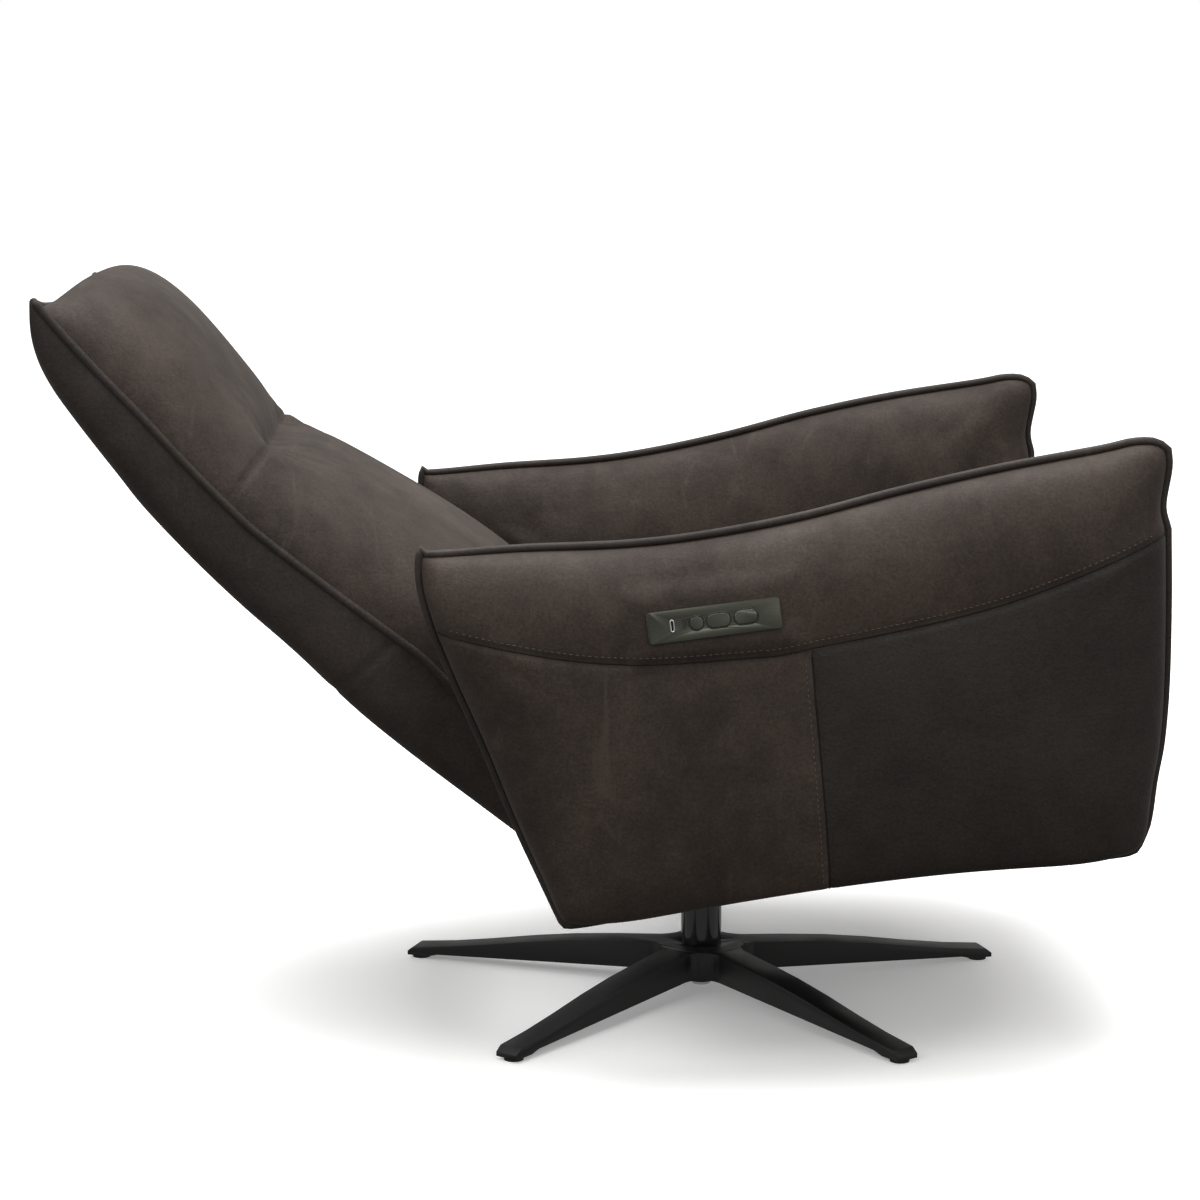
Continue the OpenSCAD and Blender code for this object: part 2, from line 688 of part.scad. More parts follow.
module keypad_lens() color("#bfe6ff") in_keypad() key_block(lens_x, 2.2, 7, 1, -8, -0.3);

module charging_slot() color("#e8eef2") in_keypad() difference() {
    key_block(slot_x, 4, 11, 1.2, -16, -0.2);
    key_block(slot_x, 2, 8.6, 0.9, -14, 5);
}

module round_key() color("#8f9296") in_keypad() {
    translate([round_key_x, 0, -key_depth]) cylinder(d = round_key_d, h = key_depth + key_stand);
}

module rocker(x) {
    key_block(x, rocker_l, rocker_h, rocker_r, -key_depth, key_stand);
}

module back_rocker() color("#8f9296") in_keypad() rocker(back_rocker_x);

module legrest_rocker() color("#8f9296") in_keypad() rocker(legrest_rocker_x);

// ---- drives -------------------------------------------------------------------------------

// The back's actuator: its rod ends in a yoke that takes the pin of the back's long lever
motor_lever_r = 75;
motor_lever_turn = -58;      // the lever's direction in the back's own frame
motor_pin = motor_lever_r * [cos(motor_lever_turn), sin(motor_lever_turn)];
motor_pin_d = 10;
yoke_pin = seat_from_back(motor_pin);
yoke_t = 8;
yoke_play = 0.8;
rod_d = 14;
rod_z = recline_axis[1] - motor_lever_r + 3;
motor_d = 32;
motor_front = bar_ys[1] + 25;
motor_back = bar_ys[2] - 25;

module back_motor() color("#24272a") in_seat() difference() {
    union() {
        translate([drive_x, motor_front, rod_z]) rotate([-90, 0, 0])
            cylinder(d = motor_d, h = motor_back - motor_front);
        translate([drive_x - motor_d / 2, motor_front - 38, rod_z - motor_d / 2])
            cube([motor_d + 8, 40, motor_d]);
    }
    translate([drive_x, motor_front + 10, rod_z]) rotate([-90, 0, 0])
        cylinder(d = rod_d + 2 * run, h = far);
}

module back_motor_rod() color("#a6a9ac") in_seat() {
    translate([drive_x, 0, rod_z]) rotate([-90, 0, 0])
        cylinder(d = rod_d, h = yoke_pin[0] - motor_pin_d / 2 - yoke_play - 2);
    plate_at(drive_x, yoke_t) difference() {
        translate([yoke_pin[0] - 12, rod_z - 14]) square([24, 28]);
        translate([yoke_pin[0], rod_z - 4]) circle(d = motor_pin_d + 2 * yoke_play);
        translate([yoke_pin[0], rod_z + 3]) circle(d = motor_pin_d + 2 * yoke_play);
        translate([yoke_pin[0] - motor_pin_d / 2 - yoke_play, rod_z - 4])
            square([motor_pin_d + 2 * yoke_play, 7]);
    }
}

// The legrest's drive: a gearbox round the legrest's shaft and a motor can behind it
gear_w = 36;
can_d = 36;
can_z = bar_z - can_d / 2 - 1;
can_front = legrest_axis[0] + 48;
module legrest_motor() color("#24272a") in_seat() difference() {
    union() {
        plate_at(-drive_x, gear_w) {
            translate(legrest_axis) circle(16);
            translate([legrest_axis[0], bar_z]) square([bar_ys[0] - bar_w / 2 - 1 - legrest_axis[0], 28]);
            translate([can_front, can_z - can_d / 2])
                square([bar_ys[0] - bar_w / 2 - 1 - can_front, bar_z - can_z + can_d / 2 + 1]);
        }
        translate([-drive_x, can_front, can_z]) rotate([-90, 0, 0]) cylinder(d = can_d, h = 118);
    }
    bar_at(-drive_x, legrest_axis, shaft_d + 2 * run, gear_w + 2);
}

// ---- back ---------------------------------------------------------------------------------

back_rim = -7;               // piping line, from the recline axis
back_foot = 12;              // height of the cushion's lower edge above the axis
frame_front = -9;
frame_deep = 30;
piping_gap = 5;              // the covers end this far in front of their piping line
fold_gap = 4;                // between the back and the headrest
head_lean = 0.17;

module back_frame() color("#232629") in_back() {
    for (s = [-1, 1]) plate_at(s * tube_x, tube_w) difference() {
        union() {
            circle(12);
            polygon([[frame_front, 0], [frame_front, 40], [frame_front, back_len - 40],
                [frame_front, back_len], [9, back_len], [frame_front + frame_deep, back_len - 40],
                [frame_front + frame_deep, 30], [9, -5]]);
            translate(fold_axis) circle(9);
        }
        circle(d = pin_d + 2 * run);
        translate(fold_axis) circle(d = head_pin_d + 2 * run);
    }
    bar_at(0, [0, 0], 18, 2 * tube_x - tube_w + 1);
    for (z = [back_len * 0.45, back_len - 70])
        translate([tube_w / 2 - tube_x - 0.5, frame_front + 6, z])
            cube([2 * tube_x - tube_w + 1, 20, 25]);
}

module back_levers() color("#2a2d30") in_back() {
    plate_at(drive_x + (rod_d + plate_t) / 2 + slide_gap, plate_t) difference() {
        link_2d([0, 0], motor_pin, 18);
        circle(d = 18 + 2 * run);
    }
    bar_at(drive_x + 4, motor_pin, motor_pin_d, yoke_t + 2 * plate_t);
    for (s = [-1, 1]) {
        plate_at(s * link_lever_x, plate_t) difference() {
            link_2d([0, 0], link_pin, 13);
            circle(d = 18 + 2 * run);
        }
        bar_at(s * (link_lever_x - plate_t / 2 - 2), link_pin, link_pin_d, 2 * plate_t + 2);
    }
}

module back_webbing() color("#4b453d") in_back() for (z = [50:70:back_len - 70])
    translate([-tube_x - tube_w / 2, frame_front - clear - web_t, z])
        cube([2 * tube_x + tube_w, web_t, 50]);

module back_pad(inset, back) {
    pad(back_w, back_foot, back_len - fold_gap, back_rim, back_crown, 26, 0, inset, back);
}

module back_foam() color("#d9c690") in_back() back_pad(cover_t + clear, -piping_gap - clear);

module back_cover() color("#4a403b") in_back() difference() {
    back_pad(0, -piping_gap);
    back_pad(cover_t, far / 100);
}

// Rear shell: a side view cut to the rounded plan of the back, and the same hollow inside it
shell_foot = -60;
shell_r = 34;
module shell_side(inset) {
    deep = back_rim + shell_depth - inset;
    front = back_rim - piping_gap + clear - inset * 3;
    polygon([[front, -16], [40, -16], [deep - 14, shell_foot - inset], [deep, shell_foot - inset],
        [deep, back_len * 0.25], [deep - 14, back_len * 0.65], [deep - 27, back_len - fold_gap + inset],
        [front, back_len - fold_gap + inset]]);
}

module shell_plan(inset, front, rear) {
    w = back_w / 2 - inset;
    r = shell_r - inset;
    polygon(concat([[-w, front], [w, front]], corner([w - r, rear - inset - r], r, 0, 90, 4),
        corner([r - w, rear - inset - r], r, 90, 180, 4)));
}

module back_body(inset) {
    intersection() {
        plate_at(0, back_w + 2) shell_side(inset);
        translate([0, 0, shell_foot - 10]) linear_extrude(back_len + 100)
            shell_plan(inset, back_rim - far / 10, back_rim + shell_depth);
    }
}

module back_shell() color("#453b36") in_back() difference() {
    back_body(0);
    back_body(shell_t);
}

// ---- headrest -----------------------------------------------------------------------------

head_foot = back_len + fold_gap;
head_top = back_len + head_len;
head_rim = back_rim - 5;
head_pin_d = 8;
head_shell_depth = 54;

module headrest_frame() color("#232629") in_back() {
    top = head_len - 40;
    for (s = [-1, 1]) plate_at(s * head_plate_x, plate_t) translate(fold_axis) difference() {
        union() {
            circle(9);
            polygon([[-8, 0], [-8 - head_lean * top, top], [10 - head_lean * top, top], [9, 0]]);
        }
        circle(d = head_pin_d + 2 * run);
    }
    for (z = [60, top - 30]) translate([-head_plate_x, -4 - head_lean * z, back_len + z])
        cube([2 * head_plate_x, 8, 24]);
}

module headrest_pins() color("#9a9da0") in_back() for (s = [-1, 1])
    bar_at(s * (head_plate_x + tube_w / 2), fold_axis, head_pin_d, tube_w + plate_t + 6);

module head_pad(inset, back) {
    pad(back_w, head_foot, head_top, head_rim, head_crown, 26, head_lean, inset, back);
}

module headrest_foam() color("#d9c690") in_back() head_pad(cover_t + clear, -piping_gap - clear);

module headrest_cover() color("#4a403b") in_back() difference() {
    head_pad(0, -piping_gap);
    head_pad(cover_t, far / 100);
}

module head_side(inset) {
    z1 = head_top - inset;
    z0 = head_foot - 2 * inset;
    rim = head_rim - piping_gap + clear;
    tip = rim - head_lean * (head_top - head_foot);
    polygon([[rim - 3 * inset, z0], [head_rim + head_shell_depth - inset, z0],
        [head_rim + head_shell_depth - inset - 12, head_foot + head_len * 0.25],
        [head_rim + 16 - inset, head_foot + head_len * 0.65],
        [tip + 20 - inset, z1], [tip - 3 * inset, z1]]);
}

module head_body(inset) {
    intersection() {
        plate_at(0, back_w + 2) head_side(inset);
        translate([0, 0, head_foot - 20]) linear_extrude(head_len + 40)
            shell_plan(inset, -far / 10, head_rim + head_shell_depth);
    }
}

module headrest_shell() color("#453b36") in_back() difference() {
    head_body(0);
    head_body(shell_t);
}

// ---- legrest ------------------------------------------------------------------------------

legrest_top = legrest_axis[1] - 19;
legrest_rim = legrest_axis[0] - 13 + legrest_t;
ply_t = 10;
legrest_w = between_arms - 18;
legrest_bottom = legrest_top - legrest_h;

module legrest_frame() color("#2a2d30") in_seat() {
    bar_at(0, legrest_axis, shaft_d, 2 * rail_x + rail_w);
    behind = legrest_rim + ply_t + 2 * clear;
    for (s = [-1, 1]) plate_at(s * leg_arm_x, plate_t) difference() {
        union() {
            translate(legrest_axis) circle(13);
            polygon([legrest_axis + [0, -13], [behind, legrest_top + 3], [behind, legrest_bottom + 10],
                [behind + 8, legrest_bottom + 10], [flap_axis[0] + 2, legrest_axis[1]],
                legrest_axis + [0, 13]]);
            translate(flap_axis) circle(8);
        }
        translate(flap_axis) circle(d = flap_pin_d + 2 * run);
    }
}

flap_pin_d = 8;
module legrest_board() color("#c9a877") in_seat()
    translate([-legrest_w / 2 + 10, legrest_rim + clear, legrest_bottom + 6])
    cube([legrest_w - 20, ply_t, legrest_h - 12]);

module legrest_pad() color("#4a403b") in_seat()
    pad(legrest_w, legrest_bottom, legrest_top, legrest_rim, legrest_t, 14);

// The flap's own pieces, drawn unfolded beneath the legrest pad
flap_top = legrest_bottom - 2;
flap_t = legrest_t - 4;
flap_rim = flap_axis[0] - 20;

module flap_frame() color("#2a2d30") in_flap() {
    behind = flap_rim + ply_t + clear;
    translate([-legrest_w / 2 + 20, flap_rim + clear, flap_top - flap_len + 6])
        cube([legrest_w - 40, ply_t, flap_len - 12]);
    for (s = [-1, 1]) {
        plate_at(s * flap_arm_x, plate_t) {
            translate(flap_axis) circle(8);
            polygon([flap_axis + [-8, 0], [behind - 1, flap_top], [behind - 1, flap_top - flap_len + 20],
                [behind + 6, flap_top - flap_len + 20], flap_axis + [8, 0]]);
        }
        bar_at(s * (flap_arm_x + plate_t / 2 + 4), flap_axis, flap_pin_d, plate_t + 10);
    }
}

module flap_pad() color("#4a403b") in_flap()
    pad(legrest_w, flap_top - flap_len, flap_top, flap_rim, flap_t, 14);

// ---- nodes --------------------------------------------------------------------------------

star_base();
floor_glides();
column_tube();
lower_bush();
upper_bush();
thrust_washer();
spindle();
column_screw();
swivel_carrier();
carrier_bolts();
tilt_pin();
tilt_links();
side_rail_right();
side_rail_left();
cross_bars();
recline_brackets();
recline_pins();
seat_webbing();
seat_foam();
seat_cover();
charging_inlet();
battery_pack();
control_box();
arm_board_right();
arm_board_left();
arm_foam_right();
arm_foam_left();
arm_cover_right();
arm_cover_left();
arm_welt_right();
arm_welt_left();
arm_spacers();
arm_bolts();
keypad_plate();
keypad_housing();
keypad_board();
keypad_lens();
charging_slot();
round_key();
back_rocker();
legrest_rocker();
back_motor();
back_motor_rod();
legrest_motor();
back_frame();
back_levers();
back_webbing();
back_foam();
back_cover();
back_shell();
headrest_frame();
headrest_pins();
headrest_foam();
headrest_cover();
headrest_shell();
legrest_frame();
legrest_board();
legrest_pad();
flap_frame();
flap_pad();
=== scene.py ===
# %% [markdown]
# # Reclining swivel armchair
# A leather recliner on a five-armed metal star. Two pillow arms stand beside a seat cushion, a long
# reclining back carries a folding headrest, and a padded legrest hangs in front of the seat.
# The measured frame is loaded first. Every soft piece and every finish is then built around it,
# in metres, with the floor at z = 0 and the swivel's axis on the Z axis.

# %% Frame
import bpy
import json
import math
import numpy as np
from mathutils import Matrix, Vector

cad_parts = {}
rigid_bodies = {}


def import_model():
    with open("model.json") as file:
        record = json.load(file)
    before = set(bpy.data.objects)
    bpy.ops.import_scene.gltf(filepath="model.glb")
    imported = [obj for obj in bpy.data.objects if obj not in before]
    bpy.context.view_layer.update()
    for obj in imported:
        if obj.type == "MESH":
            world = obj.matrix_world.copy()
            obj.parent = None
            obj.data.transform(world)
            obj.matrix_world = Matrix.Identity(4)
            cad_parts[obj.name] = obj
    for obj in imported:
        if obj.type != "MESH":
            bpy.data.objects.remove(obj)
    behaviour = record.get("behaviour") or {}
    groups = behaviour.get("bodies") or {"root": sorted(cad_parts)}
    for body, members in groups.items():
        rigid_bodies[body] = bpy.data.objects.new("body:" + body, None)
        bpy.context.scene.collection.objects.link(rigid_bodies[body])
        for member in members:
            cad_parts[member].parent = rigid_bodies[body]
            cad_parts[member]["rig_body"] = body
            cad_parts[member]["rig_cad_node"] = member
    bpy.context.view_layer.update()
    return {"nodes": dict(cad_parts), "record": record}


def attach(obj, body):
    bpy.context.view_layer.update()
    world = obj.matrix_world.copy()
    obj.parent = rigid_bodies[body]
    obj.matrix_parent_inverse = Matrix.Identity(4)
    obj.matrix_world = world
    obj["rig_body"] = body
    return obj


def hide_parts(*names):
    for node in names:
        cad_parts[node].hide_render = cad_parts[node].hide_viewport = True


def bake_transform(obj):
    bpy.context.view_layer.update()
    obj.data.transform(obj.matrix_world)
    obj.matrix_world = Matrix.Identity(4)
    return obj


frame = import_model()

nodes = frame["nodes"]
MM = 0.001

# %% [markdown]
# ## Where things are
# The seat body stands tilted back by 7 degrees about its tilt axis, and the back lies 45 degrees
# further back about its recline axis. Seat pieces are easiest to draw level, and back pieces
# upright, in millimetres. These two matrices then put a finished mesh in its place.

# %% Places of the seat body and the back
TILT_AXIS = (-100, 240)
RECLINE_AXIS = (170, 342)


def turned_about(axis, degrees):
    there = Matrix.Translation((0, axis[0] * MM, axis[1] * MM))
    return there @ Matrix.Rotation(math.radians(degrees), 4, "X") @ there.inverted()


SEAT = turned_about(TILT_AXIS, -7)
BACK = (SEAT @ Matrix.Translation((0, RECLINE_AXIS[0] * MM, RECLINE_AXIS[1] * MM))
        @ Matrix.Rotation(math.radians(-45), 4, "X"))
print("recline axis in the frame:", [round(c, 4) for c in SEAT @ Vector((0, 0.170, 0.342))])

# %% [markdown]
# ## Hand tools
# A few small helpers do what hands do at the bench: let go of everything, hold one piece,
# draw a smooth line through a few points, merge two halves, and put a piece in its place.

# %% Holding, lines and finishing
def let_go():
    for held in list(bpy.context.selected_objects):
        held.select_set(False)


def hold(*pieces):
    let_go()
    for piece in pieces:
        piece.select_set(True)
    bpy.context.view_layer.objects.active = pieces[-1]


def smooth_line(points, count):
    """Evenly spaced points on a smooth curve through the given points."""
    p = np.array(points, float)
    q = np.vstack([2 * p[0] - p[1], p, 2 * p[-1] - p[-2]])
    t = np.linspace(0, 1, 16, endpoint=False)[:, None]
    runs = [0.5 * (2 * b + (c - a) * t + (2 * a - 5 * b + 4 * c - d) * t ** 2
                   + (3 * b - a - 3 * c + d) * t ** 3)
            for a, b, c, d in (q[i:i + 4] for i in range(len(p) - 1))]
    line = np.vstack(runs + [p[-1:]])
    gone = np.r_[0, np.cumsum(np.linalg.norm(np.diff(line, axis=0), axis=1))]
    at = np.linspace(0, gone[-1], count)
    return np.stack([np.interp(at, gone, line[:, k]) for k in range(line.shape[1])], 1)


def coordinates(piece):
    co = np.empty(len(piece.data.vertices) * 3)
    piece.data.vertices.foreach_get("co", co)
    return co.reshape(-1, 3)


def reshape(piece, co):
    piece.data.vertices.foreach_set("co", np.ascontiguousarray(co, float).ravel())
    piece.data.update()


def flip(piece):
    hold(piece)
    bpy.ops.object.mode_set(mode="EDIT")
    bpy.ops.mesh.select_all(action="SELECT")
    bpy.ops.mesh.flip_normals()
    bpy.ops.object.mode_set(mode="OBJECT")


def enclosed(piece):
    """Volume inside a closed piece, negative where its faces look inwards."""
    piece.data.calc_loop_triangles()
    corners = coordinates(piece)[np.array([t.vertices[:] for t in piece.data.loop_triangles])]
    return (corners[:, 0] * np.cross(corners[:, 1], corners[:, 2])).sum() / 6


def weld(piece, gap=0.0002):
    """Merges doubled points, and turns the faces of a closed piece outwards."""
    hold(piece)
    bpy.ops.object.mode_set(mode="EDIT")
    bpy.ops.mesh.select_all(action="SELECT")
    bpy.ops.mesh.remove_doubles(threshold=gap)
    bpy.ops.mesh.normals_make_consistent(inside=False)
    bpy.ops.object.mode_set(mode="OBJECT")
    if enclosed(piece) < 0:
        flip(piece)


def apply_all(piece):
    hold(piece)
    for modifier in list(piece.modifiers):
        bpy.ops.object.modifier_apply(modifier=modifier.name)


def refine(piece, levels=1):
    rounder = piece.modifiers.new("rounder", "SUBSURF")
    rounder.levels = rounder.render_levels = levels
    rounder.uv_smooth = "PRESERVE_BOUNDARIES"
    apply_all(piece)
    hold(piece)
    bpy.ops.object.shade_smooth()


def finish_piece(piece, name, body, slot, *materials):
    piece.name = piece.data.name = name
    if materials:
        piece.data.materials.clear()
        for material in materials:
            piece.data.materials.append(material)
    if body:
        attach(piece, body)
    print(f"{name}: {len(piece.data.vertices)} points, {len(piece.data.polygons)} faces")
    return piece


# %% [markdown]
# ## Blowing up a cushion
# Leather cushions are sewn slightly small and stuffed until the skin is tight. The same is done
# here: a slim closed skin is held along its seams and blown up for twenty frames of cloth. Points
# move only straight in or out of the skin, and ever less as they near the limit. The shape is
# then kept and the cloth removed.

# %% Cloth
STUFFING_FRAMES = 20
INWARD_SHARE = 0.3      # how far a point may sink, as a share of how far it may rise


def stuff(piece, held, limit, pressure=4.0, stiffness=18.0):
    group = piece.vertex_groups.new(name="held")
    group.add([int(i) for i in held], 1.0, "REPLACE")
    start = coordinates(piece)
    outwards = np.empty(start.size)
    piece.data.vertex_normals.foreach_get("vector", outwards)
    outwards = outwards.reshape(-1, 3)
    hold(piece)
    cloth = piece.modifiers.new("stuffing", "CLOTH")
    skin = cloth.settings
    skin.quality = 5
    skin.mass = 0.35
    skin.tension_stiffness = skin.compression_stiffness = stiffness
    skin.shear_stiffness = stiffness / 3
    skin.bending_stiffness = 1.2
    skin.use_pressure = True
    skin.uniform_pressure_force = pressure
    skin.effector_weights.gravity = 0
    skin.vertex_group_mass = "held"
    cloth.collision_settings.use_collision = False
    cloth.point_cache.frame_start, cloth.point_cache.frame_end = 1, STUFFING_FRAMES
    for number in range(1, STUFFING_FRAMES + 1):
        bpy.context.scene.frame_set(number)
    blown = piece.evaluated_get(bpy.context.evaluated_depsgraph_get())
    co = np.empty(len(start) * 3)
    blown.data.vertices.foreach_get("co", co)
    move = ((co.reshape(-1, 3) - start) * outwards).sum(1)
    cap = np.where(move > 0, limit, limit * INWARD_SHARE)
    kept = cap * np.tanh(move / cap)
    piece.modifiers.remove(cloth)
    piece.vertex_groups.clear()
    bpy.context.scene.frame_set(1)
    reshape(piece, start + kept[:, None] * outwards)
    print(f"{piece.name}: stuffed, mean move {move.mean() / MM:.1f} mm, kept {kept.mean() / MM:.1f} mm")


# %% [markdown]
# ## Camera, floor and light
# The chair is seen from its right side, a little above the arm and from some three metres, with a
# long lens. A pale floor runs to the horizon, and large soft lamps stand above and beside the
# chair. Away from the chair the floor glows a little, as in a studio where the ground is lit until
# it almost disappears. The sky is brighter above than below, so that undersides stay dark.

# %% Camera
let_go()
YAW, PITCH = math.radians(-3.25), math.radians(9.2)
look = Vector((math.cos(PITCH) * math.cos(YAW), math.cos(PITCH) * math.sin(YAW), -math.sin(PITCH)))
bpy.ops.object.camera_add(location=(-3.067, 0.285, 0.924),
                          rotation=look.to_track_quat("-Z", "Y").to_euler())
camera = bpy.context.object
camera.name = "camera"
camera.data.sensor_width, camera.data.lens = 36, 87.15
bpy.context.scene.camera = camera
bpy.context.scene.view_settings.view_transform = "Standard"
print("camera at", [round(c, 3) for c in camera.location])

# %% Floor
def node(tree, kind, **values):
    made = tree.nodes.new(kind)
    for key, value in values.items():
        if hasattr(made, key):
            setattr(made, key, value)
        else:
            made.inputs[key.replace("_", " ")].default_value = value
    return made


let_go()
bpy.ops.mesh.primitive_grid_add(x_subdivisions=8, y_subdivisions=8, size=60, location=(0, 0, 0))
floor = bpy.context.object
floor.name = "floor"
floor_paint = bpy.data.materials.new("pale_floor")
floor_paint.use_nodes = True
paint = floor_paint.node_tree.nodes["Principled BSDF"]
paint.inputs["Base Color"].default_value = (0.93, 0.93, 0.93, 1)
paint.inputs["Roughness"].default_value = 0.9
paint.inputs["Specular IOR Level"].default_value = 0.1
paint.inputs["Emission Color"].default_value = (1, 1, 1, 1)
ground = floor_paint.node_tree
away = node(ground, "ShaderNodeVectorMath", operation="LENGTH")
glow = node(ground, "ShaderNodeMapRange", From_Min=0.3, From_Max=0.8, To_Min=0.22, To_Max=0.9)
ground.links.new(node(ground, "ShaderNodeTexCoord").outputs["Object"], away.inputs[0])
ground.links.new(away.outputs["Value"], glow.inputs["Value"])
ground.links.new(glow.outputs["Result"], paint.inputs["Emission Strength"])
floor.visible_diffuse = floor.visible_glossy = False
floor.data.materials.append(floor_paint)
print("floor laid")

# %% World and lamps
world = bpy.data.worlds.new("studio")
bpy.context.scene.world = world
world.use_nodes = True
sky = world.node_tree
background = sky.nodes["Background"]
background.inputs["Color"].default_value = (1, 1, 1, 1)
lamp_only = node(sky, "ShaderNodeBackground")
lamp_only.inputs["Color"].default_value = (1.0, 0.985, 0.97, 1)
ray = node(sky, "ShaderNodeTexCoord")
height = node(sky, "ShaderNodeSeparateXYZ")
sky.links.new(ray.outputs["Generated"], height.inputs[0])
from_below = node(sky, "ShaderNodeMapRange", From_Min=-1.0, From_Max=1.0, To_Min=0.04, To_Max=0.76)
sky.links.new(height.outputs["Z"], from_below.inputs["Value"])
sky.links.new(from_below.outputs["Result"], lamp_only.inputs["Strength"])
path = node(sky, "ShaderNodeLightPath")
blend_sky = node(sky, "ShaderNodeMixShader")
sky.links.new(path.outputs["Is Camera Ray"], blend_sky.inputs["Fac"])
sky.links.new(lamp_only.outputs[0], blend_sky.inputs[1])
sky.links.new(background.outputs[0], blend_sky.inputs[2])
sky.links.new(blend_sky.outputs[0], sky.nodes["World Output"].inputs["Surface"])
background.inputs["Strength"].default_value = 1.0


def lamp(name, place, target, size, power):
    bpy.ops.object.light_add(type="AREA", location=place)
    made = bpy.context.object
    made.name = name
    made.data.shape, made.data.size = "DISK", size
    made.data.energy = power
    made.rotation_euler = (Vector(target) - Vector(place)).to_track_quat("-Z", "Y").to_euler()
    return made


lamp("overhead", (0.1, 0.1, 3.2), (0, 0, 0.4), 3.0, 88)
lamp("rear_side", (-1.8, 2.2, 2.6), (0, 0.2, 0.6), 1.6, 26)
lamp("front_side", (-2.6, -1.6, 2.2), (0, 0, 0.4), 1.8, 16)
print("lamps set")

# %% [markdown]
# ## Leather
# The chair is covered in brushed leather with a soft nap. Its colour drifts in clouds and patches,
# the hide shows fine pebbles, a few paler scuffs and shallow creases, and the nap catches a little
# sheen. One recipe makes every leather from a dark and a light tone, so that the darker, smoother
# panels are cut from the same hide. The pattern is placed by the chair's own coordinates.

# %% Leather recipe
def colour_steps(tree, factor, *steps):
    ramp = node(tree, "ShaderNodeValToRGB")
    ramp.color_ramp.elements[0].position, ramp.color_ramp.elements[0].color = steps[0]
    ramp.color_ramp.elements[-1].position, ramp.color_ramp.elements[-1].color = steps[-1]
    for place, colour in steps[1:-1]:
        ramp.color_ramp.elements.new(place).color = colour
    tree.links.new(factor, ramp.inputs["Fac"])
    return ramp.outputs["Color"]


def grey(value):
    return (value, value, value, 1)


def noise(tree, coords, scale, detail=3.0, roughness=0.55, stretch=None, distortion=0.0):
    if stretch:
        squeeze = node(tree, "ShaderNodeMapping")
        squeeze.inputs["Scale"].default_value = stretch[:3]
        squeeze.inputs["Rotation"].default_value = stretch[3:]
        tree.links.new(coords, squeeze.inputs["Vector"])
        coords = squeeze.outputs["Vector"]
    made = node(tree, "ShaderNodeTexNoise", Scale=scale, Detail=detail, Roughness=roughness,
                Distortion=distortion)
    tree.links.new(coords, made.inputs["Vector"])
    return made.outputs["Fac"]


def mixed(tree, mode, share, a, b):
    made = node(tree, "ShaderNodeMix", data_type="RGBA", blend_type=mode)
    for socket, value in ((made.inputs[0], share), (made.inputs[6], a), (made.inputs[7], b)):
        if isinstance(value, bpy.types.NodeSocket):
            tree.links.new(value, socket)
        else:
            socket.default_value = value
    return made.outputs[2]


def bumps(tree, shader, *layers):
    """Layers of (height, strength, depth in metres), each on top of the one before."""
    below = None
    for height, strength, depth in layers:
        made = node(tree, "ShaderNodeBump", Strength=strength, Distance=depth)
        tree.links.new(height, made.inputs["Height"])
        if below:
            tree.links.new(below, made.inputs["Normal"])
        below = made.outputs["Normal"]
    tree.links.new(below, shader.inputs["Normal"])


def new_material(name):
    material = bpy.data.materials.new(name)
    material.use_nodes = True
    tree = material.node_tree
    coords = node(tree, "ShaderNodeTexCoord").outputs["Object"]
    return material, tree, tree.nodes["Principled BSDF"], coords


def leather(name, dark, light, rough=(0.52, 0.74), nap=0.22, pebble=0.35, scuffs=0.35):
    material, tree, shader, coords = new_material(name)
    clouds = noise(tree, coords, 5.5, 4, 0.6, distortion=0.4)
    patches = noise(tree, coords, 21, 6, 0.68)
    drift = mixed(tree, "MIX", 0.42, clouds, patches)
    hide = colour_steps(tree, drift, (0.40, (*dark, 1)), (0.62, (*light, 1)))
    fine = colour_steps(tree, noise(tree, coords, 310, 3, 0.7), (0.3, grey(0.70)), (0.7, grey(1.26)))
    hide = mixed(tree, "MULTIPLY", 1.0, hide, fine)
    scuff = colour_steps(tree, noise(tree, coords, 9, 5, 0.62, (0.5, 3.2, 1.1, 0.5, 0.3, 0.4), 1.2),
                         (0.60, grey(0)), (0.72, grey(scuffs)))
    pale = tuple(min(1, c * 1.7) for c in light)
    hide = mixed(tree, "MIX", scuff, hide, (*pale, 1))
    tree.links.new(hide, shader.inputs["Base Color"])
    dull = colour_steps(tree, drift, (0.35, grey(rough[1])), (0.68, grey(rough[0])))
    tree.links.new(dull, shader.inputs["Roughness"])
    cells = node(tree, "ShaderNodeTexVoronoi", Scale=480, feature="SMOOTH_F1")
    tree.links.new(coords, cells.inputs["Vector"])
    creases = noise(tree, coords, 34, 5, 0.7, (1, 1, 2.4, 0.2, 0.1, 0), 0.6)
    bumps(tree, shader, (creases, 0.16, 0.004), (cells.outputs["Distance"], pebble, 0.0005),
          (noise(tree, coords, 1300, 2), 0.25, 0.0003))
    shader.inputs["Specular IOR Level"].default_value = 0.28
    shader.inputs["Sheen Weight"].default_value = nap
    shader.inputs["Sheen Roughness"].default_value = 0.45
    shader.inputs["Sheen Tint"].default_value = (1.0, 0.93, 0.86, 1)
    return material


